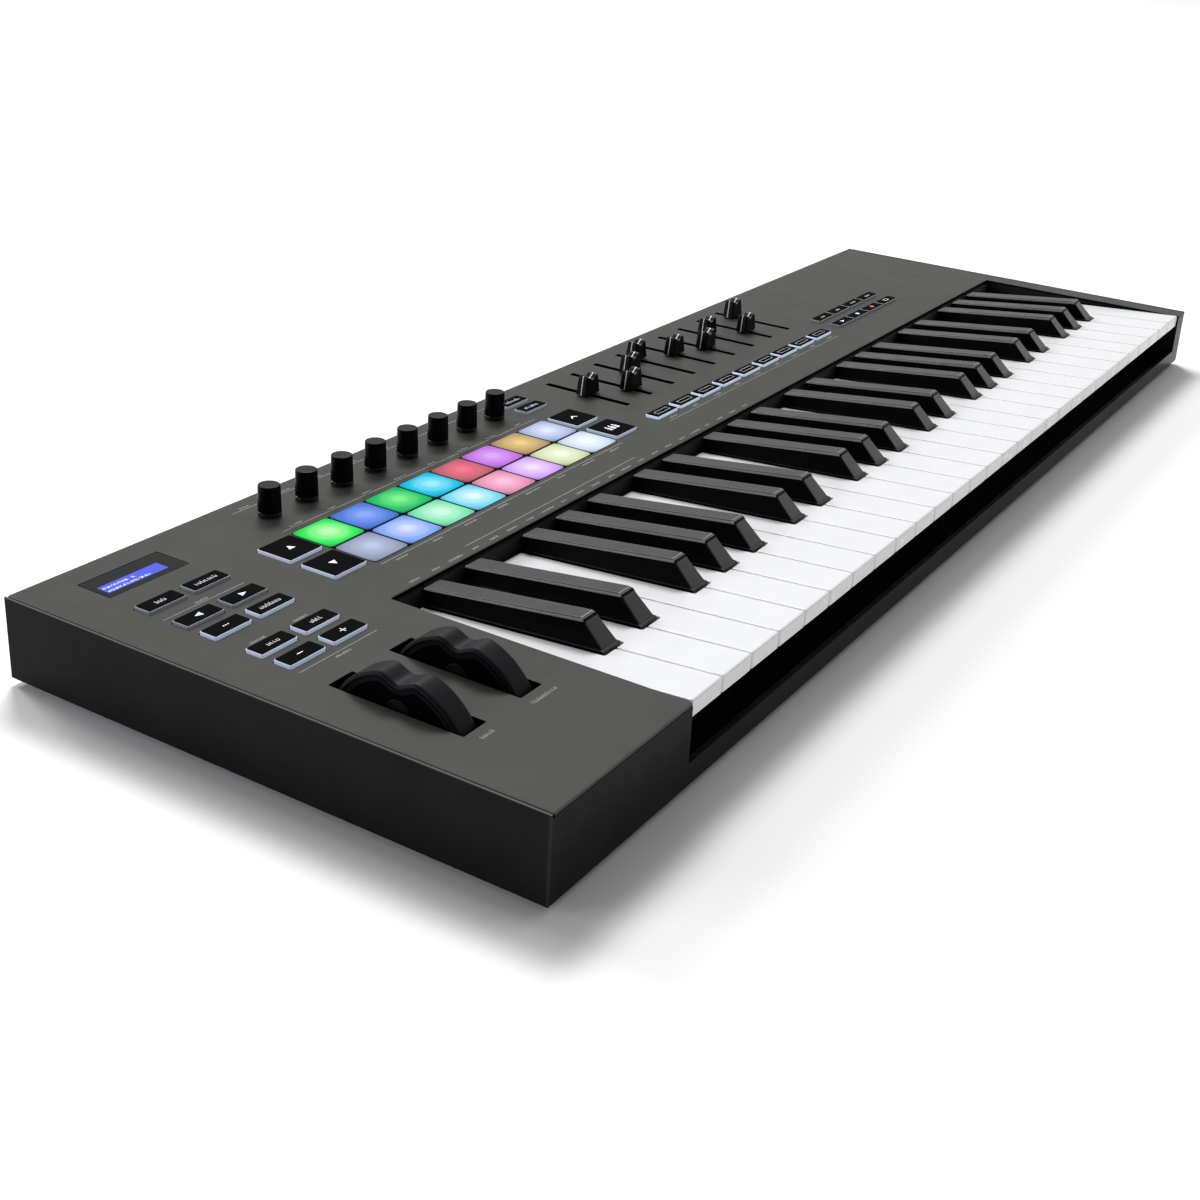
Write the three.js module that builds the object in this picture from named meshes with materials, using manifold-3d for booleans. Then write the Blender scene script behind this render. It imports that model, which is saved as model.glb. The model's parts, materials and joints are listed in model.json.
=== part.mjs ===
// Forty-nine key performance keyboard with pads, knobs, faders and two wheels.
// Units are millimetres and +Z is up. The model is laid out in the case frame:
// X runs along the keys from the low end, Y runs from the front edge to the back,
// and Z starts at the underside of the case. One outer group then moves it so that
// the origin is the middle of the footprint, on the surface that the feet stand on.
import * as THREE from 'three';
import { mergeVertices } from 'three/addons/utils/BufferGeometryUtils.js';
import { ConvexGeometry } from 'three/addons/geometries/ConvexGeometry.js';
import Module from 'manifold-3d';

const wasm = await Module();
wasm.setup();

// ---------------------------------------------------------------- case
const WIDTH = 789;
const DEPTH = 258;
const CASE_H = 35.4;
const WALL = 2.5;
const GAP = 0.4;
const PANEL_LIP = 1.2;
const PANEL_T = 2.4;
const SIDE_RIM = 0.7;
const SIDE_SEAM = 0.9;
const FOOT_H = 3;
const FOOT_R = 8;
const FOOT_INSET_X = 40;
const FOOT_INSET_Y = 28;
const WALL_TOP = CASE_H - PANEL_LIP - GAP;
const PANEL_UNDER = CASE_H - PANEL_T;

// ---------------------------------------------------------------- key well and keys
const WELL_LEFT = 91.3;
const WELL_RIGHT = 774.05;
const WELL_BACK = 140.4;
const RAIL_TOP = 9.7;
const WHITE_PITCH = 23.5;
const OCTAVE = 7 * WHITE_PITCH;
const OCTAVES = 4;
const KEY_START = 92.26;
const KEY_GAP = 0.9;
const KEY_FRONT = 1;
const KEY_BACK = 137;
const KEY_TOP_FRONT = 35.4;
const KEY_SLOPE = 0.0678;
const KEY_T = 4.8;
const LIP_BOTTOM = 28.1;
const LIP_T = 3;
const HEAD_BACK = 48.4;
const BLACK_W = 13;
const BLACK_LEFTS = [16.2, 44.1, 86.4, 112.7, 139.6];
const BLACK_FRONT = 49.5;
const BLACK_BACK = 138;
const BLACK_TOP_FRONT_Y = 61;
const BLACK_TOP_FRONT = 43.3;
const BLACK_TOP_BACK = 34;
const BLACK_SKIRT = 4.5;
const BLACK_CLEAR = 0.7;
const BAR_FRONT = 145;
const BAR_BACK = 158;
const BAR_T = 3.2;
const BAR_C = 17.6;
const BAR_D = 13.1;
const BAR_BLACK = 8.6;
const TAIL_FRONT = 134;
const TAIL_TOP = 22.3;
const DUST_STRIP = { y0: 139.2, y1: 144.6, z0: 24 };

// ---------------------------------------------------------------- control surface
const GRID_X = 101.4;
const GRID_PITCH = 24.13;
const PAD = 22.6;
const PAD_ROWS = [178.3, 202.5];
const PAD_RISE = 0.8;
const SQUARE_W = 20;
const SQUARE_D = 19.2;
const SQUARE_ROWS = [178.5, 202.8];
const SMALL_W = 19.6;
const SMALL_D = 8.8;
const SMALL_COLS = [32.6, 56.6];
const SHIFT_ROW = 207;
const TRACK_ROW = 186.7;
const CHORD_ROW = 172.3;
const ARP_ROW = 149;
const OCTAVE_ROW = 135;
const DEVICE_ROWS = [229.9, 242.3];
const DEVICE_D = 8.4;
const BUTTON_RISE = 1.5;
const BUTTON_CLEAR = 0.4;
const WEB_BOTTOM = 30;
const WEB_T = 1.2;
const KNOBS = 8;
const KNOB_Y = 235.3;
const KNOB_SHIFT = -1.5;
const KNOB_R = 5.4;
const KNOB_TOP_R = 4.9;
const KNOB_H = 15;
const KNOB_SHAFT_R = 3;
const FADER_X = 359;
const FADER_PITCH = 24.45;
const FADERS = 9;
const SLOT_FRONT = 192.8;
const SLOT_BACK = 246.8;
const SLOT_W = 4.4;
const FADER_REST = [219.7, 206.7, 222.5, 233.3, 221.4, 213.3, 226, 211.5, 234.3];
const CAP_BASE = { w: 14, d: 7.4 };
const CAP_TOP = { w: 10.6, d: 6.4 };
const CAP_H = 11.5;
const CAP_SCOOP = 2.5;
const CAP_FLOAT = 0.8;
const FADER_BUTTON_W = 21.4;
const FADER_BUTTON_D = 8.2;
const FADER_BUTTON_Y = 171.9;
const TRANSPORT_X = 592;
const TRANSPORT_PITCH = 23.4;
const TRANSPORT_W = 22.4;
const TRANSPORT_D = 7.4;
const TRANSPORT_ROWS = [172.4, 187];
const DISPLAY = { x0: 24.5, x1: 66.1, y0: 226, y1: 244.4 };

// ---------------------------------------------------------------- wheels
const WHEEL_R = 32;
const WHEEL_Y = 82;
const WHEEL_Z = 17;
const WHEEL_W = 11.2;
const WHEEL_SPREAD = 80;
const WHEEL_HUB_R = 8;
const WHEEL_SHAFT_R = 3;
const WHEEL_SHAFT_L = 18.4;
const SADDLE_HALF = 9.5;
const SADDLE_DEPTH = 4;
const WHEEL_SLOT = { w: 13.4, y0: 51.5, y1: 112.3 };
const WHEELS = { pitch_wheel: 28.75, modulation_wheel: 62.9 };

// ---------------------------------------------------------------- inside
const BOARD_Z = 27;
const BOARD_T = 1.6;
const BOARD_BACK = 250;
const BOARD_TOP = BOARD_Z + BOARD_T;
const POT_TOP = 32.2;
const USB = { x: 96, w: 14, z0: 12.6, z1: 25.2, depth: 16, wall: 1.2 };
const MIDI = { x: 150, r: 8.6, bore: 6.8, body: 19, z: 15.6, depth: 18 };
const JACK = { x: 200, r: 5.6, bore: 3.3, body: 13, z: 15.6, depth: 20 };
const SOCKET_PLATE = { x0: 80, x1: 214, z0: 4.4 };
const BOARD_BOSSES = [[16, 222], [340, 240], [684, 222], [684, 178], [16, 128]];
const PANEL_BOSSES = [[735, 240], [735, 178], [781.5, 30], [781.5, 120]];
const BOSS_R = 3.2;
const ROUND = 16;

// ---------------------------------------------------------------- shape helpers
function box(x0, x1, y0, y1, z0, z1) {
  const geometry = new THREE.BoxGeometry(x1 - x0, y1 - y0, z1 - z0);
  return geometry.translate((x0 + x1) / 2, (y0 + y1) / 2, (z0 + z1) / 2);
}

function solid(geometry) {
  const bare = geometry.clone();
  bare.deleteAttribute('normal');
  bare.deleteAttribute('uv');
  const merged = mergeVertices(bare, 1e-4);
  return new wasm.Manifold(new wasm.Mesh({
    numProp: 3,
    vertProperties: Float32Array.from(merged.attributes.position.array),
    triVerts: Uint32Array.from(merged.index.array),
  }));
}

function geometryOf(body) {
  const mesh = body.getMesh();
  const geometry = new THREE.BufferGeometry();
  geometry.setAttribute('position', new THREE.BufferAttribute(mesh.vertProperties, 3));
  geometry.setIndex(new THREE.BufferAttribute(mesh.triVerts, 1));
  geometry.computeVertexNormals();
  return geometry;
}

function join(geometries) {
  return geometries.map(solid).reduce((whole, piece) => whole.add(piece));
}

// A closed outline in plan, raised from z0 to z1.
function plate(outline, z0, z1) {
  const shape = new THREE.Shape(outline.map(([x, y]) => new THREE.Vector2(x, y)));
  const geometry = new THREE.ExtrudeGeometry(shape, { depth: z1 - z0, bevelEnabled: false });
  return geometry.translate(0, 0, z0);
}

// A closed outline in the Y-Z plane, drawn out along X from x0 to x1.
function profile(outline, x0, x1) {
  const shape = new THREE.Shape(outline.map(([y, z]) => new THREE.Vector2(y, z)));
  const geometry = new THREE.ExtrudeGeometry(shape, { depth: x1 - x0, bevelEnabled: false });
  const turn = new THREE.Matrix4().makeBasis(
    new THREE.Vector3(0, 1, 0),
    new THREE.Vector3(0, 0, 1),
    new THREE.Vector3(1, 0, 0),
  );
  return geometry.applyMatrix4(turn).translate(x0, 0, 0);
}

function rectangle(x0, x1, y0, y1) {
  return [[x0, y0], [x1, y0], [x1, y1], [x0, y1]];
}

function around(x, y, width, depth, clear = 0) {
  const w = width / 2 + clear;
  const d = depth / 2 + clear;
  return rectangle(x - w, x + w, y - d, y + d);
}

function ring(x, y, r, count = ROUND) {
  const step = 2 * Math.PI / count;
  return Array.from({ length: count }, (_, i) => [x + r * Math.cos(i * step), y + r * Math.sin(i * step)]);
}

// A turned piece standing along +Z, from a list of [radius, height] points.
function turned(points, count = ROUND) {
  const lathe = new THREE.LatheGeometry(points.map(([r, z]) => new THREE.Vector2(r, z)), count);
  return lathe.rotateX(Math.PI / 2);
}

// A round bar along Y from y0 to y1.
function rod(x, z, r, y0, y1) {
  const bar = turned([[0, 0], [r, 0], [r, y1 - y0], [0, y1 - y0]]);
  return bar.rotateX(-Math.PI / 2).translate(x, y0, z);
}

// ---------------------------------------------------------------- scene graph
const keyboard = new THREE.Group();
const caseFrame = new THREE.Group();
caseFrame.position.set(-WIDTH / 2, -DEPTH / 2, FOOT_H);
keyboard.add(caseFrame);

const FINISH = {
  panel: { color: 0x5a5a57, roughness: 0.62, metalness: 0 },
  case: { color: 0x232325, roughness: 0.5, metalness: 0 },
  white: { color: 0xf2f2f0, roughness: 0.22, metalness: 0 },
  black: { color: 0x161618, roughness: 0.28, metalness: 0 },
  rubber: { color: 0x17181a, roughness: 0.8, metalness: 0 },
  button: { color: 0xc9d2ee, roughness: 0.45, metalness: 0 },
  pad: { color: 0x8fb4e8, roughness: 0.5, metalness: 0 },
  board: { color: 0x1f4a33, roughness: 0.55, metalness: 0 },
  glass: { color: 0x101113, roughness: 0.08, metalness: 0 },
  lcd: { color: 0x3f66e0, roughness: 0.3, metalness: 0 },
  metal: { color: 0xb5b7ba, roughness: 0.3, metalness: 1 },
};

function add(name, geometry, finish, at = [0, 0, 0]) {
  const mesh = new THREE.Mesh(geometry, new THREE.MeshStandardMaterial(FINISH[finish]));
  mesh.name = name;
  mesh.position.set(...at);
  caseFrame.add(mesh);
}

const columnX = (column) => GRID_X + GRID_PITCH * column;
const faderX = (index) => FADER_X + FADER_PITCH * index;
const knobX = (index) => columnX(index + 1) + KNOB_SHIFT;
const transportX = (index) => TRANSPORT_X + TRANSPORT_PITCH * index;
const keyTop = (y) => KEY_TOP_FRONT - KEY_SLOPE * (y - KEY_FRONT);

// ---------------------------------------------------------------- button groups
const pair = (y) => SMALL_COLS.map((x) => [x, y]);
const BUTTON_GROUPS = {
  shift_settings_buttons: { at: pair(SHIFT_ROW), w: SMALL_W, d: SMALL_D },
  track_buttons: { at: pair(TRACK_ROW), w: SMALL_W, d: SMALL_D },
  chord_buttons: { at: pair(CHORD_ROW), w: SMALL_W, d: SMALL_D },
  arp_scale_buttons: { at: pair(ARP_ROW), w: SMALL_W, d: SMALL_D },
  octave_buttons: { at: pair(OCTAVE_ROW), w: SMALL_W, d: SMALL_D },
  scene_up_down_buttons: { at: SQUARE_ROWS.map((y) => [columnX(0), y]), w: SQUARE_W, d: SQUARE_D },
  launch_stop_buttons: { at: SQUARE_ROWS.map((y) => [columnX(9), y]), w: SQUARE_W, d: SQUARE_D },
  device_buttons: { at: DEVICE_ROWS.map((y) => [columnX(9), y]), w: SMALL_W, d: DEVICE_D },
  fader_buttons: {
    at: Array.from({ length: FADERS }, (_, i) => [faderX(i), FADER_BUTTON_Y]),
    w: FADER_BUTTON_W,
    d: FADER_BUTTON_D,
  },
  transport_buttons: {
    at: TRANSPORT_ROWS.flatMap((y) => [0, 1, 2, 3].map((i) => [transportX(i), y])),
    w: TRANSPORT_W,
    d: TRANSPORT_D,
  },
};

// Each group is one rubber keypad: a thin web under the panel carries its keys,
// and each key stands up through its own hole.
function keypad({ at, w, d }) {
  const xs = at.map(([x]) => x);
  const ys = at.map(([, y]) => y);
  const web = box(
    Math.min(...xs) - w / 2, Math.max(...xs) + w / 2,
    Math.min(...ys) - d / 2, Math.max(...ys) + d / 2,
    WEB_BOTTOM, WEB_BOTTOM + WEB_T,
  );
  const keys = at.map(([x, y]) => box(
    x - w / 2, x + w / 2, y - d / 2, y + d / 2, WEB_BOTTOM + WEB_T / 2, CASE_H + BUTTON_RISE,
  ));
  return geometryOf(join([web, ...keys]));
}

function padRow(y) {
  const half = PAD / 2;
  const web = box(
    columnX(1) - half, columnX(8) + half, y - half, y + half, WEB_BOTTOM, WEB_BOTTOM + WEB_T,
  );
  const pads = Array.from({ length: 8 }, (_, i) => box(
    columnX(i + 1) - half, columnX(i + 1) + half,
    y - half, y + half, WEB_BOTTOM + WEB_T / 2, CASE_H + PAD_RISE,
  ));
  return geometryOf(join([web, ...pads]));
}

// ---------------------------------------------------------------- shells
function panelHoles() {
  const half = PAD / 2 + BUTTON_CLEAR;
  const window = rectangle(
    columnX(1) - half, columnX(8) + half, PAD_ROWS[0] - half, PAD_ROWS[1] + half,
  );
  const display = rectangle(
    DISPLAY.x0 - GAP, DISPLAY.x1 + GAP, DISPLAY.y0 - GAP, DISPLAY.y1 + GAP,
  );
  const buttons = Object.values(BUTTON_GROUPS).flatMap(
    ({ at, w, d }) => at.map(([x, y]) => around(x, y, w, d, BUTTON_CLEAR)),
  );
  const knobs = Array.from({ length: KNOBS }, (_, i) => ring(knobX(i), KNOB_Y, KNOB_SHAFT_R + GAP));
  const slots = Array.from({ length: FADERS }, (_, i) => rectangle(
    faderX(i) - SLOT_W / 2, faderX(i) + SLOT_W / 2, SLOT_FRONT, SLOT_BACK,
  ));
  const wheels = Object.values(WHEELS).map((x) => rectangle(
    x - WHEEL_SLOT.w / 2, x + WHEEL_SLOT.w / 2, WHEEL_SLOT.y0, WHEEL_SLOT.y1,
  ));
  return [window, display, ...buttons, ...knobs, ...slots, ...wheels];
}

// A U in plan, open at the front for the keys. Its skin lies between the rims of the two
// sides, and the lower layer drops inside the walls.
function topPanel() {
  const inset = WALL + GAP;
  const left = SIDE_RIM + SIDE_SEAM;
  const right = WIDTH - left;
  const outer = [
    [left, 0], [WELL_LEFT, 0], [WELL_LEFT, WELL_BACK], [WELL_RIGHT, WELL_BACK],
    [WELL_RIGHT, 0], [right, 0], [right, DEPTH], [left, DEPTH],
  ];
  const inner = [
    [inset, inset], [WELL_LEFT - inset, inset], [WELL_LEFT - inset, WELL_BACK],
    [WELL_RIGHT + inset, WELL_BACK], [WELL_RIGHT + inset, inset], [WIDTH - inset, inset],
    [WIDTH - inset, DEPTH - inset], [inset, DEPTH - inset],
  ];
  const skin = plate(outer, CASE_H - PANEL_LIP, CASE_H);
  const backing = plate(inner, PANEL_UNDER, CASE_H - PANEL_LIP / 2);
  const cutters = panelHoles().map((hole) => plate(hole, PANEL_UNDER - 1, CASE_H + 1));
  return geometryOf(join([skin, backing]).subtract(join(cutters)));
}

// Open at the top for the panel, with a low rail under the keys and a notch at the
// back that holds the socket plate.
function bottomCase() {
  const boss = (top) => ([x, y]) => plate(ring(x, y, BOSS_R, 10), WALL / 2, top);
  const walls = [
    box(0, WIDTH, 0, DEPTH, 0, WALL),
    box(0, WALL, 0, DEPTH, 0, WALL_TOP),
    box(WIDTH - WALL, WIDTH, 0, DEPTH, 0, WALL_TOP),
    box(0, SIDE_RIM, 0, DEPTH, 0, CASE_H),
    box(WIDTH - SIDE_RIM, WIDTH, 0, DEPTH, 0, CASE_H),
    box(0, WIDTH, DEPTH - WALL, DEPTH, 0, WALL_TOP),
    box(0, WELL_LEFT, 0, WALL, 0, WALL_TOP),
    box(WELL_LEFT - WALL, WELL_LEFT, 0, WELL_BACK, 0, WALL_TOP),
    box(WELL_RIGHT, WIDTH, 0, WALL, 0, WALL_TOP),
    box(WELL_RIGHT, WELL_RIGHT + WALL, 0, WELL_BACK, 0, WALL_TOP),
    box(0, WIDTH, 0, WALL, 0, RAIL_TOP),
    ...BOARD_BOSSES.map(boss(BOARD_Z - GAP)),
    ...PANEL_BOSSES.map(boss(PANEL_UNDER - GAP)),
  ];
  const { x0, x1, z0 } = SOCKET_PLATE;
  const notch = box(x0 - GAP, x1 + GAP, DEPTH - WALL - 1, DEPTH + 1, z0 - GAP, CASE_H);
  return geometryOf(join(walls).subtract(solid(notch)));
}

function socketPlate() {
  const { x0, x1, z0 } = SOCKET_PLATE;
  const back = DEPTH + 1;
  const front = DEPTH - WALL - 1;
  const holes = [
    box(USB.x - USB.w / 2 - GAP, USB.x + USB.w / 2 + GAP, front, back, USB.z0 - GAP, USB.z1 + GAP),
    rod(MIDI.x, MIDI.z, MIDI.r + GAP, front, back),
    rod(JACK.x, JACK.z, JACK.r + GAP, front, back),
  ];
  const blank = box(x0, x1, DEPTH - WALL, DEPTH, z0, WALL_TOP);
  return geometryOf(solid(blank).subtract(join(holes)));
}

function foot() {
  const top = -GAP + FOOT_H;
  return turned([[0, 0], [FOOT_R - 0.8, 0], [FOOT_R, 0.8], [FOOT_R, top], [0, top]]);
}

// ---------------------------------------------------------------- keys
const WHITE_SIDE = KEY_GAP / 2;

// The edges of each white key behind its head, where the black keys pass between.
function neckEdges(step) {
  const left = step * WHITE_PITCH;
  const right = left + WHITE_PITCH;
  const blackInside = (x) => x > left - BLACK_W && x < right;
  const near = BLACK_LEFTS.filter(blackInside);
  const after = near.filter((x) => x <= left).map((x) => x + BLACK_W + BLACK_CLEAR);
  const before = near.filter((x) => x > left).map((x) => x - BLACK_CLEAR);
  return [Math.max(left + WHITE_SIDE, ...after), Math.min(right - WHITE_SIDE, ...before)];
}

function whiteKey(x0, step) {
  const left = x0 + step * WHITE_PITCH + WHITE_SIDE;
  const right = x0 + (step + 1) * WHITE_PITCH - WHITE_SIDE;
  const neck = neckEdges(step).map((edge) => edge + x0);
  const plan = plate(
    [[left, 0], [right, 0], [right, HEAD_BACK], [neck[1], HEAD_BACK],
      [neck[1], DEPTH], [neck[0], DEPTH], [neck[0], HEAD_BACK], [left, HEAD_BACK]],
    0, CASE_H + 10,
  );
  const side = profile(
    [[KEY_FRONT, LIP_BOTTOM], [KEY_FRONT + LIP_T, LIP_BOTTOM],
      [KEY_FRONT + LIP_T, keyTop(KEY_FRONT) - KEY_T], [KEY_BACK, keyTop(KEY_BACK) - KEY_T],
      [KEY_BACK, keyTop(KEY_BACK)], [KEY_FRONT + 0.8, keyTop(KEY_FRONT)],
      [KEY_FRONT, keyTop(KEY_FRONT) - 0.8]],
    left - 1, right + 1,
  );
  return { body: solid(plan).intersect(solid(side)), left: neck[0], right: neck[1] };
}

// Several white keys moulded on one rear bar, which hinges on the chassis.
function whiteComb(x0, steps, barBottom) {
  const keys = steps.map((step) => whiteKey(x0, step));
  const tails = keys.flatMap(({ left, right }) => [
    box(left, right, TAIL_FRONT, KEY_BACK + 1, barBottom, TAIL_TOP),
    box(left, right, TAIL_FRONT, BAR_FRONT + 1, barBottom, barBottom + BAR_T),
  ]);
  const bar = box(
    keys[0].left, keys[keys.length - 1].right, BAR_FRONT, BAR_BACK, barBottom, barBottom + BAR_T,
  );
  return geometryOf(keys.reduce((whole, key) => whole.add(key.body), join([bar, ...tails])));
}

function blackKey(x) {
  const points = [];
  for (const [y, z, inset] of [
    [BLACK_FRONT, keyTop(BLACK_FRONT) - BLACK_SKIRT, 0],
    [BLACK_BACK, keyTop(BLACK_BACK) - BLACK_SKIRT, 0],
    [BLACK_FRONT, keyTop(BLACK_FRONT) + 0.6, 0],
    [BLACK_BACK, keyTop(BLACK_BACK) + 0.6, 0],
    [BLACK_TOP_FRONT_Y - 0.8, BLACK_TOP_FRONT - 0.9, 1.7],
    [BLACK_TOP_FRONT_Y, BLACK_TOP_FRONT, 1.9],
    [BLACK_BACK, BLACK_TOP_BACK, 1.1],
  ]) {
    points.push(new THREE.Vector3(x + inset, y, z));
    points.push(new THREE.Vector3(x + BLACK_W - inset, y, z));
  }
  return new ConvexGeometry(points);
}

function blackComb(x0) {
  const lefts = BLACK_LEFTS.map((x) => x0 + x);
  const tails = lefts.flatMap((x) => [
    box(x + 1, x + BLACK_W - 1, TAIL_FRONT, BLACK_BACK, BAR_BLACK, TAIL_TOP + 1),
    box(x + 1, x + BLACK_W - 1, TAIL_FRONT, BAR_FRONT + 1, BAR_BLACK, BAR_BLACK + BAR_T),
  ]);
  const bar = box(
    lefts[0], lefts[lefts.length - 1] + BLACK_W, BAR_FRONT, BAR_BACK, BAR_BLACK, BAR_BLACK + BAR_T,
  );
  return geometryOf(join([bar, ...tails, ...lefts.map(blackKey)]));
}

// ---------------------------------------------------------------- knobs, faders, wheels
function knob() {
  const shaftBottom = POT_TOP - CASE_H - 2.8;
  return turned([
    [0, shaftBottom], [KNOB_SHAFT_R, shaftBottom], [KNOB_SHAFT_R, 0.6],
    [KNOB_R - 0.3, 0.6], [KNOB_R, 1.1], [KNOB_R, 2.4], [KNOB_R - 0.2, 2.9],
    [KNOB_TOP_R, KNOB_H - 0.7], [KNOB_TOP_R - 0.7, KNOB_H], [0, KNOB_H],
  ], 20);
}

// The finger cap tapers upwards and is scooped between its two ends, and its stem
// drops through the panel slot.
function faderCap() {
  const half = CAP_TOP.w / 2;
  const steps = 8;
  const scoop = Array.from({ length: steps + 1 }, (_, i) => {
    const x = half - 2 * half * i / steps;
    return [x, CAP_H - CAP_SCOOP * Math.cos(x / half * Math.PI / 2) ** 2];
  });
  const base = [[-CAP_BASE.w / 2, CAP_FLOAT], [CAP_BASE.w / 2, CAP_FLOAT]];
  const along = profile([...base, ...scoop], -CAP_BASE.d, CAP_BASE.d).rotateZ(-Math.PI / 2);
  const across = profile([
    [-CAP_BASE.d / 2, CAP_FLOAT - 1], [CAP_BASE.d / 2, CAP_FLOAT - 1],
    [CAP_TOP.d / 2, CAP_H + 1], [-CAP_TOP.d / 2, CAP_H + 1],
  ], -CAP_BASE.w, CAP_BASE.w);
  const stem = box(-0.6, 0.6, -2, 2, BOARD_TOP + 0.8 - CASE_H, CAP_FLOAT + 1);
  return geometryOf(solid(along).intersect(solid(across)).add(solid(stem)));
}

// A fan of the full wheel radius with a finger saddle at the top, on a small hub.
function wheel() {
  const rad = Math.PI / 180;
  const outline = [];
  for (let angle = -WHEEL_SPREAD; angle <= WHEEL_SPREAD; angle += 5) {
    const across = WHEEL_R * angle * rad;
    const inSaddle = Math.abs(across) < SADDLE_HALF;
    const dip = inSaddle ? SADDLE_DEPTH * Math.cos(across / SADDLE_HALF * Math.PI / 2) ** 2 : 0;
    const r = WHEEL_R - dip;
    outline.push([r * Math.sin(angle * rad), r * Math.cos(angle * rad)]);
  }
  for (let angle = 110; angle <= 250; angle += 28) {
    outline.push([WHEEL_HUB_R * Math.sin(angle * rad), WHEEL_HUB_R * Math.cos(angle * rad)]);
  }
  const fan = profile(outline, -WHEEL_W / 2, WHEEL_W / 2);
  const shaft = rod(0, 0, WHEEL_SHAFT_R, -WHEEL_SHAFT_L / 2, WHEEL_SHAFT_L / 2).rotateZ(-Math.PI / 2);
  return geometryOf(join([fan, shaft]));
}

function wheelBracket() {
  const bore = WHEEL_SHAFT_R + GAP;
  const shaftEnds = Object.values(WHEELS).flatMap(
    (x) => [x - WHEEL_SHAFT_L / 2 + 1, x + WHEEL_SHAFT_L / 2 - 1],
  );
  const uprights = shaftEnds.map((x) => box(x - 1, x + 1, WHEEL_Y - 9, WHEEL_Y + 9, 4, WHEEL_Z + 6));
  const base = box(shaftEnds[0] - 3, shaftEnds[3] + 3, WHEEL_Y - 12, WHEEL_Y + 12, WALL + GAP, 5);
  const rods = shaftEnds.map(
    (x) => rod(0, 0, bore, -3, 3).rotateZ(-Math.PI / 2).translate(x, WHEEL_Y, WHEEL_Z),
  );
  return geometryOf(join([base, ...uprights]).subtract(join(rods)));
}

// ---------------------------------------------------------------- inside pieces
function chassis() {
  const floor = WALL + GAP;
  const top = floor + 1.8;
  return profile([
    [8, floor], [166, floor], [166, 23], [161, 23], [161, top], [112, top], [112, 8.1], [108, 8.1],
    [108, top], [60, top], [60, 8.1], [56, 8.1], [56, top], [20, top], [20, 16], [15, 16],
    [15, top], [8, top],
  ], WELL_LEFT + 1.5, WELL_RIGHT - 1.5);
}

function contactBoard() {
  const strips = [64, 92].map((y) => box(WELL_LEFT + 6, WELL_RIGHT - 6, y, y + 12, 9.4, 13));
  const board = box(WELL_LEFT + 4, WELL_RIGHT - 4, 54, 114, 8.5, 10.1);
  return geometryOf(join([board, ...strips]));
}

function controlBoard() {
  const board = plate([
    [10, 122], [86, 122], [86, 168], [692, 168], [692, BOARD_BACK], [10, BOARD_BACK],
  ], BOARD_Z, BOARD_TOP);
  const knobs = Array.from({ length: KNOBS }, (_, i) => knobX(i));
  const faders = Array.from({ length: FADERS }, (_, i) => faderX(i));
  const bodies = [
    ...knobs.map((x) => around(x, KNOB_Y, 9.6, 9.6)),
    ...faders.map((x) => rectangle(x - 4.5, x + 4.5, SLOT_FRONT - 5, BOARD_BACK - 0.5)),
  ];
  const hollows = [
    ...knobs.map((x) => ring(x, KNOB_Y, KNOB_SHAFT_R + GAP)),
    ...faders.map((x) => rectangle(x - SLOT_W / 2, x + SLOT_W / 2, SLOT_FRONT, SLOT_BACK)),
  ];
  const raised = bodies.map((outline) => plate(outline, BOARD_TOP - 0.2, POT_TOP));
  const cutters = hollows.map((outline) => plate(outline, BOARD_TOP, POT_TOP + 1));
  return geometryOf(join([board, ...raised]).subtract(join(cutters)));
}

function usbSocket() {
  const { x, w, z0, z1, depth, wall } = USB;
  const shell = box(x - w / 2, x + w / 2, DEPTH - depth, DEPTH - 0.3, z0, z1);
  const mouth = box(
    x - w / 2 + wall, x + w / 2 - wall, DEPTH - depth + 4, DEPTH + 1, z0 + wall, z1 - wall,
  );
  const tongue = box(x - 2.6, x + 2.6, DEPTH - depth + 3, DEPTH - 3, z1 - wall - 4, z1 - wall - 1.6);
  return geometryOf(solid(shell).subtract(solid(mouth)).add(solid(tongue)));
}

// A square body behind a round collar, with a round bore open to the back.
function roundSocket({ x, r, bore, body, z, depth }) {
  const block = box(
    x - body / 2, x + body / 2, DEPTH - depth, DEPTH - WALL - GAP, z - body / 2, z + body / 2,
  );
  const collar = rod(x, z, r, DEPTH - WALL - 1, DEPTH - 0.3);
  const hole = rod(x, z, bore, DEPTH - depth + 3, DEPTH + 1);
  return geometryOf(join([block, collar]).subtract(solid(hole)));
}

// ---------------------------------------------------------------- assembly
add('bottom_case', bottomCase(), 'case');
add('top_panel', topPanel(), 'panel');
add('keybed_chassis', chassis(), 'case');
add('key_contact_board', contactBoard(), 'board');
add('key_dust_strip', box(
  WELL_LEFT + 1.5, WELL_RIGHT - 1.5, DUST_STRIP.y0, DUST_STRIP.y1, DUST_STRIP.z0, PANEL_UNDER - GAP,
), 'rubber');
add('control_board', controlBoard(), 'board');
add('display_window', box(
  DISPLAY.x0, DISPLAY.x1, DISPLAY.y0, DISPLAY.y1, CASE_H - PANEL_LIP, CASE_H,
), 'glass');
add('lcd_module', box(
  DISPLAY.x0 + 0.5, DISPLAY.x1 - 0.5, DISPLAY.y0 + 0.5, DISPLAY.y1 - 0.5,
  BOARD_TOP + GAP, CASE_H - PANEL_LIP - GAP,
), 'lcd');
add('socket_plate', socketPlate(), 'case');
add('usb_socket', usbSocket(), 'metal');
add('midi_out_socket', roundSocket(MIDI), 'rubber');
add('pedal_jack', roundSocket(JACK), 'rubber');
add('wheel_bracket', wheelBracket(), 'case');

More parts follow.
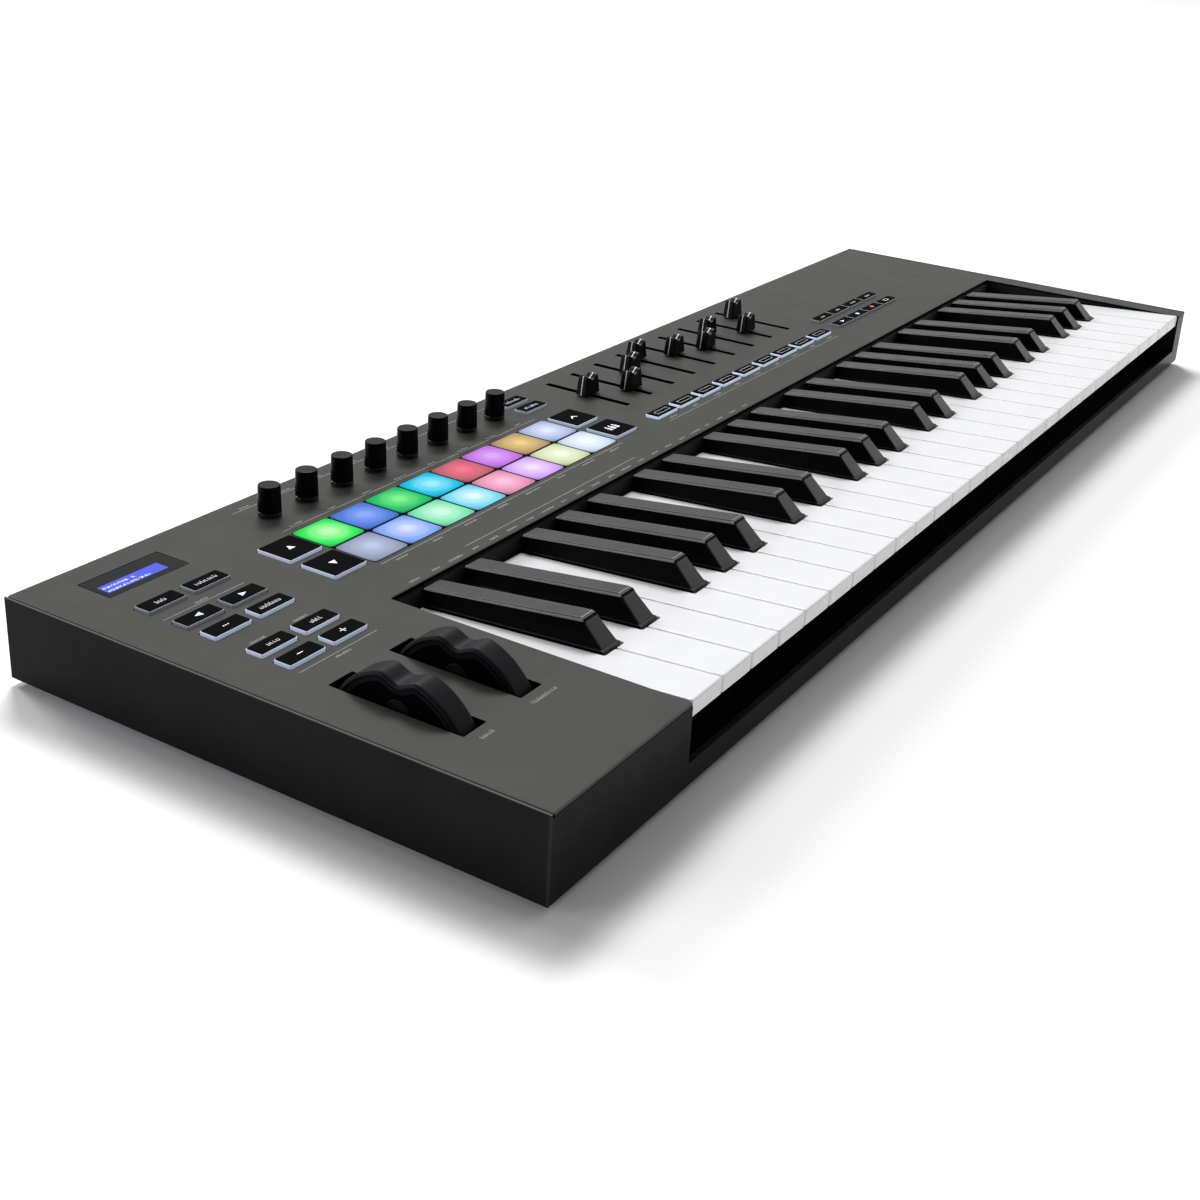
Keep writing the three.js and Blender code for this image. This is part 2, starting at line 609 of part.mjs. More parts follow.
for (const [side, x] of [['left', FOOT_INSET_X], ['right', WIDTH - FOOT_INSET_X]]) {
  for (const [end, y] of [['front', FOOT_INSET_Y], ['back', DEPTH - FOOT_INSET_Y]]) {
    add(`foot_${end}_${side}`, foot(), 'rubber', [x, y, -FOOT_H]);
  }
}

// The last octave's first comb also carries the high C, which has no black neighbour.
for (let octave = 0; octave < OCTAVES; octave += 1) {
  const x0 = KEY_START + octave * OCTAVE;
  const n = octave + 1;
  const outerSteps = n === OCTAVES ? [0, 2, 4, 6, 7] : [0, 2, 4, 6];
  add(`keys_c_e_g_b_${n}`, whiteComb(x0, outerSteps, BAR_C), 'white');
  add(`keys_d_f_a_${n}`, whiteComb(x0, [1, 3, 5], BAR_D), 'white');
  add(`keys_sharps_${n}`, blackComb(x0), 'black');
}

add('pads_front_row', padRow(PAD_ROWS[0]), 'pad');
add('pads_back_row', padRow(PAD_ROWS[1]), 'pad');
for (const [name, group] of Object.entries(BUTTON_GROUPS)) {
  add(name, keypad(group), 'button');
}
for (let i = 0; i < KNOBS; i += 1) {
  add(`knob_${i + 1}`, knob(), 'black', [knobX(i), KNOB_Y, CASE_H]);
}
for (let i = 0; i < FADERS; i += 1) {
  add(`fader_cap_${i + 1}`, faderCap(), 'black', [faderX(i), FADER_REST[i], CASE_H]);
}
for (const [name, x] of Object.entries(WHEELS)) {
  add(name, wheel(), 'rubber', [x, WHEEL_Y, WHEEL_Z]);
}

export default keyboard;
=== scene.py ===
import json
import math
import random

import bmesh
import bpy
from mathutils import Matrix, Vector
from mathutils.geometry import delaunay_2d_cdt


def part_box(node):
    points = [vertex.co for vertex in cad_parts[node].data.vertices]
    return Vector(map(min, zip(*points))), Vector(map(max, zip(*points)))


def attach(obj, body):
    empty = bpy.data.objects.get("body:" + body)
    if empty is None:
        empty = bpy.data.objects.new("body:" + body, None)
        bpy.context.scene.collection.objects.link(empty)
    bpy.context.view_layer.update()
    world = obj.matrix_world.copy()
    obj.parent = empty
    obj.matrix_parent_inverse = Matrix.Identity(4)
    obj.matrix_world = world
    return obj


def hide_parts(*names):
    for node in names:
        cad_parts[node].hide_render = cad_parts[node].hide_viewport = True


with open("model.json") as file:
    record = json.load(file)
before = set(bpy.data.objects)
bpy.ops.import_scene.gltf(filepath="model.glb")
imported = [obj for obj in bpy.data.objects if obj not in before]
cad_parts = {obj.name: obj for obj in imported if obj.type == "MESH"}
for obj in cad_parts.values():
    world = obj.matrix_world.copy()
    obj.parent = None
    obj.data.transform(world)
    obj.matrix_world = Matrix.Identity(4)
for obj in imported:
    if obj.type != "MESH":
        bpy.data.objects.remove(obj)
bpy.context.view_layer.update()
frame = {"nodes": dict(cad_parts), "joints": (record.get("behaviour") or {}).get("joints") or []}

# ---- places and sizes
MM = 0.001
WELD_REACH = 0.002 * MM
SHARP_ANGLE = math.radians(38)
BEVEL_ANGLE = math.radians(40)
FLAT_ANGLE = math.radians(0.5)
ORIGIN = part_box("bottom_case")[0]


def row(point):
    return ORIGIN + Vector(point) * MM


def span(node):
    """Lowest and highest corner of a CAD node, in case millimetres."""
    low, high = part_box(node)
    return (low - ORIGIN) / MM, (high - ORIGIN) / MM


CASE_HIGH = span("bottom_case")[1]
WIDTH = CASE_HIGH.x
DEPTH = CASE_HIGH.y
PANEL_LOW, PANEL_HIGH = span("top_panel")
PANEL_TOP = PANEL_HIGH.z
PANEL_SKIN = 1.2
PANEL_BEVEL = 0.45
HOLE_BEVEL = 0.12
PANEL_LEFT = PANEL_LOW.x
PANEL_RIGHT = PANEL_HIGH.x
WALL = 2.5
SEAM = 0.4
WELL_LEFT = 91.3
WELL_RIGHT = 774.05
WELL_BACK = 140.4

# keys
FIRST_COMB = span("keys_c_e_g_b_1")
OCTAVE = span("keys_c_e_g_b_2")[0].x - FIRST_COMB[0].x
WHITE_PITCH = OCTAVE / 7
KEY_GAP = 0.9
KEY_START = FIRST_COMB[0].x - KEY_GAP / 2
KEY_FRONT = FIRST_COMB[0].y
KEY_BACK = 137
WHITE_TOP = FIRST_COMB[1].z
WHITE_SLOPE = 0.0678
WHITE_SLAB = 4.8
LIP_BOTTOM = 28.1
LIP_THICK = 3
HEAD_BACK = 48.4
BLACK_WIDTH = 13
BLACK_LEFTS = [16.2, 44.1, 86.4, 112.7, 139.6]
BLACK_FRONT = 49.5
BLACK_BACK = 138
BLACK_CREST = 61
BLACK_TOP_FRONT = span("keys_sharps_1")[1].z
BLACK_TOP_BACK = 34
BLACK_SKIRT = 4.5
BLACK_CLEAR = 0.7
BAR_FRONT = 145
BAR_BACK = 158
BAR_THICK = 3.2
TAIL_FRONT = 134
TAIL_TOP = 22.3
COMBS = {"keys_c_e_g_b": [0, 2, 4, 6], "keys_d_f_a": [1, 3, 5]}
OCTAVES = 4

# control surface
PAD = 22.6
SQUARE = (20.0, 19.2)
SMALL = (19.6, 8.8)
BUTTON_CLEAR = 0.35
ICON_HEIGHT = 0.05
KNOBS = 8
KNOB_SIDES = 56
FADERS = 9
SLOT = (4.4, 192.8, 246.8)
CAP_FLOAT = 0.8
CAP_TOP = (10.6, 6.4)
CAP_SCOOP = 2.5
WHEEL_SLOT = (13.4, 51.5, 112.3)
WHEEL_HALF = 5.6
WHEEL_SPREAD = 80
BOSS_RADIUS = 5.6
BOSS_DROP = 2.7
WHEELS = ("pitch_wheel", "modulation_wheel")
DISPLAY_LOW, DISPLAY_HIGH = span("display_window")
LIT_LOW = (27.0, 229.4)
LIT_HIGH = (58.3, 236.6)


def white_top(y):
    return WHITE_TOP - WHITE_SLOPE * (y - KEY_FRONT)


def middle(node):
    low, high = span(node)
    return (low + high) / 2


def cells(node, columns, rows, size):
    """Centres of the equal cells of a button group, from the front left to the back right."""
    low, high = span(node)
    width, depth = size
    step_x = (high.x - low.x - width) / max(columns - 1, 1)
    step_y = (high.y - low.y - depth) / max(rows - 1, 1)
    first = (low.x + width / 2, low.y + depth / 2)
    return [
        (first[0] + step_x * column, first[1] + step_y * line)
        for line in range(rows)
        for column in range(columns)
    ]


# ---- shapes
class Form:
    """The points and faces of one piece, with a material number for each face."""

    def __init__(self):
        self.points = []
        self.faces = []
        self.finishes = []

    def add(self, points, faces, finish=0):
        base = len(self.points)
        self.points += [tuple(p) for p in points]
        self.faces += [[base + i for i in face] for face in faces]
        self.finishes += [finish] * len(faces)

    def loft(self, rings, finish=0, closed=True):
        """Joins rings of equal length by quads. Closed ends make it a solid."""
        count = len(rings[0])
        faces = []
        for level in range(len(rings) - 1):
            low = level * count
            for i in range(count):
                j = (i + 1) % count
                faces.append([low + i, low + j, low + count + j, low + count + i])
        if closed:
            last = (len(rings) - 1) * count
            faces.append(list(range(count))[::-1])
            faces.append([last + i for i in range(count)])
        self.add([p for ring in rings for p in ring], faces, finish)

    def lid(self, ring, finish=0):
        self.add(ring, [list(range(len(ring)))], finish)

    def base(self, ring, finish=0):
        self.add(ring, [list(range(len(ring)))[::-1]], finish)

    def turn(self, matrix, start=0):
        """Moves the points from a given number onwards by a matrix."""
        self.points[start:] = [tuple(matrix @ Vector(p)) for p in self.points[start:]]


def face_normal(form, face):
    corners = [Vector(form.points[i]) for i in face]
    return (corners[1] - corners[0]).cross(corners[2] - corners[1]).normalized()


def lift(outline, z):
    return [(x, y, z) for x, y in outline]


def rectangle(x0, x1, y0, y1):
    return [(x0, y0), (x1, y0), (x1, y1), (x0, y1)]


def around(centre, size, clear=0.0):
    (x, y), (width, depth) = centre, size
    half_x = width / 2 + clear
    half_y = depth / 2 + clear
    return rectangle(x - half_x, x + half_x, y - half_y, y + half_y)


def circle(x, y, radius, count=32):
    step = 2 * math.pi / count
    return [(x + radius * math.cos(i * step), y + radius * math.sin(i * step)) for i in range(count)]


def rounded(corners, radius, steps=4):
    """A closed outline whose corners are arcs. radius is one number or one for each corner."""
    radii = radius if isinstance(radius, (list, tuple)) else [radius] * len(corners)
    outline = []
    for i, (corner, r) in enumerate(zip(corners, radii)):
        point = Vector(corner)
        if r <= 0:
            outline.append(tuple(point))
            continue
        back = (Vector(corners[i - 1]) - point).normalized()
        ahead = (Vector(corners[(i + 1) % len(corners)]) - point).normalized()
        half = back.angle(ahead) / 2
        centre = point + (back + ahead).normalized() * (r / math.sin(half))
        start = point + back * (r / math.tan(half)) - centre
        end = point + ahead * (r / math.tan(half)) - centre
        first = math.atan2(start.y, start.x)
        sweep = (math.atan2(end.y, end.x) - first + math.pi) % (2 * math.pi) - math.pi
        for k in range(steps + 1):
            angle = first + sweep * k / steps
            outline.append((centre.x + r * math.cos(angle), centre.y + r * math.sin(angle)))
    return outline


def inset(outline, distance):
    """The outline moved to its left-hand side, which is inwards when it runs anticlockwise."""
    moved = []
    for i, here in enumerate(outline):
        point = Vector(here)
        before = (point - Vector(outline[i - 1])).normalized()
        after = (Vector(outline[(i + 1) % len(outline)]) - point).normalized()
        side = Vector((-before.y - after.y, before.x + after.x))
        share = distance / max(1 + before.dot(after), 0.2)
        moved.append(tuple(point + side * share))
    return moved


def quarter_turn(steps):
    """Angles that step evenly from zero to a right angle."""
    return [math.pi / 2 * k / steps for k in range(steps + 1)]


def round_rings(outline, z0, z1, bevel, steps=3):
    """Rings of an upright wall whose top edge is rounded inwards."""
    rings = [lift(outline, z0)]
    for turn in quarter_turn(steps):
        pulled = inset(outline, bevel * (1 - math.cos(turn)))
        rings.append(lift(pulled, z1 - bevel + bevel * math.sin(turn)))
    return rings


def slab(form, outline, z0, z1, bevel, finish=0, steps=3):
    form.loft(round_rings(outline, z0, z1, bevel, steps), finish)


def block(form, x0, x1, y0, y1, z0, z1, bevel=0.3, finish=0):
    """A box with rounded upright and upper edges."""
    slab(form, rounded(rectangle(x0, x1, y0, y1), bevel, 2), z0, z1, bevel, finish, 2)


def is_inside(point, loop):
    x, y = point
    found = False
    for i, (x1, y1) in enumerate(loop):
        x0, y0 = loop[i - 1]
        if (y0 > y) != (y1 > y) and x < (x1 - x0) * (y - y0) / (y1 - y0) + x0:
            found = not found
    return found


def filled(loops):
    """Triangles that fill the first loop and leave the others open, as numbers of their points."""
    points = [Vector(p[:2]) for loop in loops for p in loop]
    edges = []
    start = 0
    for loop in loops:
        edges += [(start + i, start + (i + 1) % len(loop)) for i in range(len(loop))]
        start += len(loop)
    _, _, triangles, sources, _, _ = delaunay_2d_cdt(points, edges, [], 0, 1e-7)
    flat_loops = [[p[:2] for p in loop] for loop in loops]
    kept = []
    for triangle in triangles:
        numbers = [sources[i][0] for i in triangle]
        centre = sum((points[i] for i in numbers), Vector((0, 0))) / 3
        if is_inside(centre, flat_loops[0]) and not any(is_inside(centre, hole) for hole in flat_loops[1:]):
            kept.append(numbers)
    return kept


def perforated(form, outline, holes, z0, z1, bevel, hole_bevel, finish=0, wall_finish=1, steps=3):
    """A plate with holes, whose outer edge and hole edges are rounded at the top."""
    stacks = [round_rings(outline, z0, z1, bevel, steps)]
    stacks += [round_rings(hole[::-1], z0, z1, hole_bevel, steps) for hole in holes]
    for stack in stacks:
        form.loft(stack[:2], wall_finish, closed=False)
        form.loft(stack[1:], finish, closed=False)
    for level, flip in ((0, True), (-1, False)):
        rings = [stack[level] for stack in stacks]
        triangles = filled(rings)
        if flip:
            triangles = [t[::-1] for t in triangles]
        form.add([p for ring in rings for p in ring], triangles, finish)


def lathe(form, profile, count=48, finish=0):
    """A solid turned about Z from (radius, height) pairs, its ends closed."""
    rings = [lift(circle(0, 0, radius, count), height) for radius, height in profile]
    form.loft(rings, finish)


def new_object(name, data):
    made = bpy.data.objects.new(name, data)
    bpy.context.scene.collection.objects.link(made)
    return made


def piece(name, form, body, materials, replaces=(), weld=False):
    """Makes the object of a form, in the shared frame, riding on its body."""
    mesh = bpy.data.meshes.new(name)
    mesh.from_pydata([row(p) for p in form.points], [], form.faces)
    mesh.polygons.foreach_set("material_index", form.finishes)
    shape = bmesh.new()
    shape.from_mesh(mesh)
    if weld:
        bmesh.ops.remove_doubles(shape, verts=shape.verts, dist=WELD_REACH)
    bmesh.ops.recalc_face_normals(shape, faces=shape.faces)
    shape.to_mesh(mesh)
    shape.free()
    mesh.shade_smooth()
    mesh.set_sharp_from_angle(angle=SHARP_ANGLE)
    for material in materials:
        mesh.materials.append(material)
    made = new_object(name, mesh)
    even = made.modifiers.new("even_shading", "WEIGHTED_NORMAL")
    even.keep_sharp = True
    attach(made, body)
    if replaces:
        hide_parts(*replaces)


# ---- materials
def new_node(tree, kind, values=None):
    """A shader node in a tree, with some of its inputs set."""
    made = tree.nodes.new("ShaderNode" + kind)
    for socket, value in (values or {}).items():
        made.inputs[socket].default_value = value
    return made


def ranges(start, end, low, high):
    return {"From Min": start, "From Max": end, "To Min": low, "To Max": high}


class Finish:
    """A Principled material and the nodes that vary it, in metres of the object's own frame."""

    def __init__(self, name, color, roughness, specular=0.5, metallic=0.0):
        self.material = bpy.data.materials.new(name)
        self.material.use_nodes = True
        self.tree = self.material.node_tree
        self.shader = self.tree.nodes["Principled BSDF"]
        self.place = new_node(self.tree, "TexCoord")
        self.set("Base Color", (*color, 1))
        self.set("Roughness", roughness)
        self.set("Specular IOR Level", specular)
        self.set("Metallic", metallic)
        self.material.diffuse_color = (*color, 1)

    def set(self, socket, value):
        self.shader.inputs[socket].default_value = value

    def link(self, source, target):
        self.tree.links.new(source, target)

    def noise(self, scale, detail=3.0):
        node = new_node(self.tree, "TexNoise", {"Scale": scale, "Detail": detail})
        self.link(self.place.outputs["Object"], node.inputs["Vector"])
        return node.outputs["Fac"]

    def between(self, factor, low, high, start=0.3, end=0.7):
        node = new_node(self.tree, "MapRange", ranges(start, end, low, high))
        self.link(factor, node.inputs["Value"])
        return node.outputs["Result"]

    def combine(self, operation, first, second):
        node = new_node(self.tree, "Math")
        node.operation = operation
        self.link(first, node.inputs[0])
        self.link(second, node.inputs[1])
        return node.outputs["Value"]

    def mix(self, factor, first, second):
        node = new_node(self.tree, "Mix")
        node.data_type = "RGBA"
        node.inputs["A"].default_value = (*first, 1)
        node.inputs["B"].default_value = (*second, 1)
        self.link(factor, node.inputs["Factor"])
        return node.outputs["Result"]

    def mottled(self, first, second, scale=60):
        """Two close colours that drift into each other."""
        drift = self.mix(self.between(self.noise(scale), 0, 1), first, second)
        self.link(drift, self.shader.inputs["Base Color"])

    def uneven(self, low, high, scale=120):
        """A roughness that varies a little over the surface."""
        self.link(self.between(self.noise(scale, 2), low, high), self.shader.inputs["Roughness"])

    def grained(self, scale, depth, strength):
        """Fine moulded grain, whose depth is in millimetres."""
        bump = new_node(self.tree, "Bump", {"Strength": strength, "Distance": depth * MM})
        self.link(self.noise(scale, 4), bump.inputs["Height"])
        self.link(bump.outputs["Normal"], self.shader.inputs["Normal"])

    def glowing(self, color, strength):
        self.set("Emission Color", (*color, 1))
        self.set("Emission Strength", strength)


def shade(color, factor):
    return tuple(min(c * factor, 1.0) for c in color)


def moulded(name, color, roughness, grain=1500, depth=0.03, strength=0.35, drift=0.10, **shader):
    """A colour that drifts a little, uneven gloss and fine grain, as moulded parts have."""
    finish = Finish(name, color, roughness, **shader)
    finish.mottled(shade(color, 1 - drift), shade(color, 1 + drift))
    finish.uneven(roughness * 0.88, min(roughness * 1.12, 1.0))
    finish.grained(grain, depth, strength)
    return finish.material


def lit_silicone(name, color, glow, strength, specular=0.5):
    """Milky silicone lit evenly from behind."""
    finish = Finish(name, color, 0.42, specular=specular)
    finish.mottled(shade(color, 0.94), shade(color, 1.04), 90)
    finish.grained(900, 0.02, 0.2)
    finish.glowing(glow, strength)
    return finish.material


def lit_pad(name, edge, centre):
    """A silicone pad over one lamp, brightest at the middle and deep in colour at the rim."""
    finish = Finish(name, shade(edge, 0.12), 0.36, specular=0.02)
    shift = new_node(finish.tree, "Mapping", {"Location": (-0.5, -0.5, 0), "Scale": (1, 1, 0)})
    finish.link(finish.place.outputs["Generated"], shift.inputs["Vector"])
    reach = new_node(finish.tree, "VectorMath")
    reach.operation = "LENGTH"
    finish.link(shift.outputs["Vector"], reach.inputs[0])
    ramp = new_node(finish.tree, "ValToRGB")
    ramp.color_ramp.interpolation = "EASE"
    between = tuple(0.42 * c + 0.58 * e for c, e in zip(centre, edge))
    stops = ((0.06, centre), (0.30, between), (0.50, edge), (0.68, shade(edge, 0.62)))
    while len(ramp.color_ramp.elements) < len(stops):
        ramp.color_ramp.elements.new(0.5)
    for element, (position, color) in zip(ramp.color_ramp.elements, stops):
        element.position = position
        element.color = (*color, 1)
    finish.link(reach.outputs["Value"], ramp.inputs["Fac"])
    finish.link(ramp.outputs["Color"], finish.shader.inputs["Emission Color"])
    finish.set("Emission Strength", 0.94)
    finish.uneven(0.3, 0.42, 200)
    finish.grained(1100, 0.02, 0.2)
    return finish.material


def edge_lit_case():
    """Satin case plastic, with a painted highlight on its thin upper rims and a faint painted highlight
    line down its front left corner.
    """
    finish = Finish("case_satin", (0.008, 0.008, 0.0085), 0.22, specular=0.03)
    split = new_node(finish.tree, "SeparateXYZ")
    finish.link(finish.place.outputs["Object"], split.inputs["Vector"])
    top = row((0, 0, PANEL_TOP)).z
    # Painted highlight: the rims just under the panel top and a thin line down the front left corner are
    # made lighter, where light catches the rounded edges.
    rim = finish.between(split.outputs["Z"], 0, 1, top - 0.5 * MM, top - 0.1 * MM)
    corner = ORIGIN.x + ORIGIN.y
    sideways = finish.combine("ADD", split.outputs["X"], split.outputs["Y"])
    upright = finish.between(sideways, 0.14, 0, corner + 0.5 * MM, corner + 1.1 * MM)
    drift = finish.between(finish.noise(60), 0, 1)
    base = finish.mix(drift, (0.0105, 0.0105, 0.0115), (0.013, 0.013, 0.014))
    rim_and_corner_highlight = finish.mix(finish.combine("MAXIMUM", rim, upright), (0, 0, 0), (0.11, 0.11, 0.115))
    finish.link(base, rim_and_corner_highlight.node.inputs["A"])
    finish.link(rim_and_corner_highlight, finish.shader.inputs["Base Color"])
    finish.uneven(0.19, 0.25)
    finish.grained(1800, 0.03, 0.2)
    return finish.material


PANEL = moulded("panel_matte", (0.063, 0.065, 0.060), 0.4, grain=2200, depth=0.02, strength=0.25,
                drift=0.05, specular=0.04)
# A lighter copy of the panel plastic for its rounded edges: painted highlight.
PANEL_EDGE_HIGHLIGHT = moulded("panel_edge_highlight", (0.15, 0.152, 0.145), 0.35, grain=1200, depth=0.01, drift=0.12,
                     specular=0.1)
CASE = edge_lit_case()
# Near-black for the black chassis and bracket inside, and for the cut walls of the panel's holes and well,
# where it is painted shade.
INSIDE_BLACK_AND_SHADE = moulded("inside_black_and_shade", (0.002, 0.002, 0.002), 0.8, grain=900, depth=0.05, specular=0.02)
WHITE_KEY = moulded("white_key_gloss", (0.755, 0.76, 0.772), 0.2, grain=260, depth=0.01, strength=0.12,
                    drift=0.015, specular=0.3)
# A lighter copy of the key plastic for the sides and fronts: painted light against the shade in the gaps
# between keys.
WHITE_SIDE_LIGHTENED = moulded("white_key_side_lightened", (0.95, 0.955, 0.97), 0.25, grain=260, depth=0.01, strength=0.12,
                     drift=0.01, specular=0.3)
BLACK_TOP = moulded("black_key_satin", (0.009, 0.009, 0.0095), 0.3, grain=1600, depth=0.004, strength=0.15,
                    specular=0.4)
# Darker, less glossy copies of the key plastic for the sides, the bar and the step around the top, and a
# darker, bluer one for the sloping front: painted shade.
BLACK_SIDE_SHADE = moulded("black_key_side_shade", (0.002, 0.002, 0.0025), 0.3, grain=300, depth=0.01, strength=0.12,
                     specular=0.04)
# A light grey for the edges around the top: painted highlight.
BLACK_EDGE_HIGHLIGHT = moulded("black_key_edge_highlight", (0.17, 0.168, 0.155), 0.3, grain=900, depth=0.003, strength=0.1,
                     specular=0.3)
BLACK_SLOPE_SHADE = moulded("black_key_front_shade", (0.007, 0.007, 0.0085), 0.3, grain=500, depth=0.03, strength=0.4,
                      specular=0.33)
KNOB = moulded("knob_side", (0.002, 0.002, 0.0022), 0.22, grain=1500, depth=0.01, specular=0.03)
KNOB_TOP = moulded("knob_top", (0.007, 0.007, 0.0075), 0.4, grain=1500, depth=0.03, specular=0.08)
KNOB_SKIRT = moulded("knob_gloss", (0.004, 0.004, 0.004), 0.14, grain=400, depth=0.005, specular=0.5)
CAP = moulded("fader_satin", (0.006, 0.006, 0.007), 0.36, grain=1500, depth=0.02, specular=0.06)
MARK = moulded("white_mark", (0.80, 0.80, 0.81), 0.5, grain=1200, depth=0.01, drift=0.04)
PRINT = moulded("panel_print", (0.36, 0.36, 0.35), 0.6, grain=1200, depth=0.01, drift=0.10)
RUBBER = moulded("wheel_rubber", (0.008, 0.0085, 0.0105), 0.5, grain=1100, depth=0.05, strength=0.5,
                 drift=0.12, specular=0.09)
# The wheels' black side plastic, deepened to near black as painted shade.
WHEEL_SIDE_AND_SHADE = moulded("wheel_side_and_shade", (0.001, 0.001, 0.001), 0.5, grain=700, depth=0.02, specular=0.02)
BUTTON_TOP = moulded("button_cap", (0.0025, 0.0025, 0.0025), 0.55, grain=1600, depth=0.03, specular=0.006)
FELT = moulded("felt", (0.006, 0.006, 0.006), 0.95, grain=5000, depth=0.2, strength=1.0, drift=0.4)
BOARD = moulded("circuit_board", (0.004, 0.013, 0.009), 0.35, grain=800, depth=0.02, drift=0.25)
GLASS = moulded("display_glass", (0.012, 0.014, 0.013), 0.08, grain=60, depth=0.005, strength=0.05,
                specular=0.09)
METAL = moulded("socket_nickel", (0.62, 0.61, 0.59), 0.25, grain=600, depth=0.01, metallic=1.0)
SOCKET = moulded("socket_black", (0.012, 0.012, 0.012), 0.4, grain=900, depth=0.02)
FOOT = moulded("foot_rubber", (0.014, 0.014, 0.014), 0.75, grain=800, depth=0.08, strength=0.7)
PAD_SIDE = moulded("pad_side", (0.09, 0.09, 0.095), 0.5, grain=900, depth=0.02, specular=0.1)
BRIGHT = lit_silicone("silicone_bright", (0.50, 0.54, 0.66), (0.66, 0.75, 1.0), 0.52)
COOL = lit_silicone("silicone_cool", (0.42, 0.46, 0.53), (0.64, 0.73, 1.0), 0.31)
SOFT = lit_silicone("silicone_soft", (0.34, 0.37, 0.43), (0.58, 0.68, 0.9), 0.14)
DIM = lit_silicone("silicone_dim", (0.25, 0.275, 0.30), (0.5, 0.6, 0.75), 0.05)
ICON = lit_silicone("icon_white", (0.75, 0.76, 0.80), (0.85, 0.9, 1.0), 0.30)
ICON_RED = lit_silicone("icon_red", (0.70, 0.10, 0.10), (1.0, 0.08, 0.08), 0.30)
LCD_LIT = lit_silicone("lcd_backlight", (0.02, 0.03, 0.2), (0.10, 0.14, 0.95), 0.58, 0.06)
LCD_MARK = lit_silicone("lcd_mark", (0.6, 0.65, 0.9), (0.75, 0.8, 1.0), 0.6)

# ---- button groups
# node, (columns, rows), size of a button, its surround, and the icon of each button
BUTTON_GROUPS = [
    ("shift_settings_buttons", (2, 1), SMALL, DIM, ["word", "long_word"]),
    ("track_buttons", (2, 1), SMALL, DIM, ["left", "right"]),
    ("chord_buttons", (2, 1), SMALL, COOL, ["dots", "long_word"]),
    ("arp_scale_buttons", (2, 1), SMALL, COOL, ["word", "word"]),
    ("octave_buttons", (2, 1), SMALL, COOL, ["minus", "plus"]),
    ("scene_up_down_buttons", (1, 2), SQUARE, COOL, ["down", "up"]),
    ("launch_stop_buttons", (1, 2), SQUARE, COOL, ["bars", "chevron"]),
    ("device_buttons", (1, 2), (SMALL[0], 8.4), SOFT, ["long_word", "long_word"]),
    ("fader_buttons", (FADERS, 1), (21.4, 8.2), BRIGHT, ["slot"] * FADERS),
    ("transport_buttons", (4, 2), (22.4, 7.4), DIM,
     ["right", "stop", "record", "loop", "word", "word", "word", "word"]),
]


def opening(low, high, radius):
    """The hole that leaves a seam around a box seen from above."""
    return rounded(rectangle(low.x - SEAM, high.x + SEAM, low.y - SEAM, high.y + SEAM), radius)


def panel_holes():
    holes = [opening(span("pads_front_row")[0], span("pads_back_row")[1], 1.8)]
    holes.append(opening(DISPLAY_LOW, DISPLAY_HIGH, 0.8))
    for node, (columns, rows), size, _, _ in BUTTON_GROUPS:
        holes += [rounded(around(c, size, BUTTON_CLEAR), 1.1) for c in cells(node, columns, rows, size)]
    for i in range(KNOBS):
        centre = middle(f"knob_{i + 1}")
        holes.append(circle(centre.x, centre.y, 3.4, 24))
    slots = [(f"fader_cap_{i + 1}", SLOT) for i in range(FADERS)]
    slots += [(wheel, WHEEL_SLOT) for wheel in WHEELS]
    for node, (width, front, back) in slots:
        x = middle(node).x
        holes.append(rounded(rectangle(x - width / 2, x + width / 2, front, back), 0.5, 2))
    return holes


def make_panel():
    outer = rounded([
        (PANEL_LEFT, 0), (WELL_LEFT, 0), (WELL_LEFT, WELL_BACK), (WELL_RIGHT, WELL_BACK),
        (WELL_RIGHT, 0), (PANEL_RIGHT, 0), (PANEL_RIGHT, DEPTH), (PANEL_LEFT, DEPTH),
    ], [0.6, 0.6, 1.2, 1.2, 0.6, 0.6, 0.6, 0.6], 3)
    tuck = WALL + SEAM
    backing = [
        (tuck, tuck), (WELL_LEFT - tuck, tuck), (WELL_LEFT - tuck, WELL_BACK + 1),
        (WELL_RIGHT + tuck, WELL_BACK + 1), (WELL_RIGHT + tuck, tuck), (WIDTH - tuck, tuck),
        (WIDTH - tuck, DEPTH - tuck), (tuck, DEPTH - tuck),
    ]
    holes = panel_holes()
    form = Form()
    # The upright walls of the holes and the well keep the near-black finish, as painted shade.
    perforated(form, outer, holes, PANEL_TOP - PANEL_SKIN, PANEL_TOP, PANEL_BEVEL, HOLE_BEVEL)
    # Rounded edges get a lighter copy of the panel colour as a painted highlight, except on the front and
    # back walls of the panel.
    for number, face in enumerate(form.faces):
        outside = all(form.points[i][1] < 0.1 or form.points[i][1] > DEPTH - 0.1 for i in face)
        if outside:
            form.finishes[number] = 0
        elif 0.2 < face_normal(form, face).z < 0.95:
            form.finishes[number] = 2
    perforated(form, backing, holes, PANEL_LOW.z, PANEL_TOP - PANEL_SKIN, 0.1, 0.02, 1, 1, 1)
    piece("top_panel_shell", form, "case", [PANEL, INSIDE_BLACK_AND_SHADE, PANEL_EDGE_HIGHLIGHT], ["top_panel"])


# ---- panel printing
def stroke(form, x0, x1, y0, y1, z=None, height=0.03):
    """A thin printed bar just proud of the surface below it."""
    z = PANEL_TOP if z is None else z
    corners = rectangle(x0, x1, y0, y1)
    form.loft([lift(corners, z - 0.02), lift(corners, z + height)])


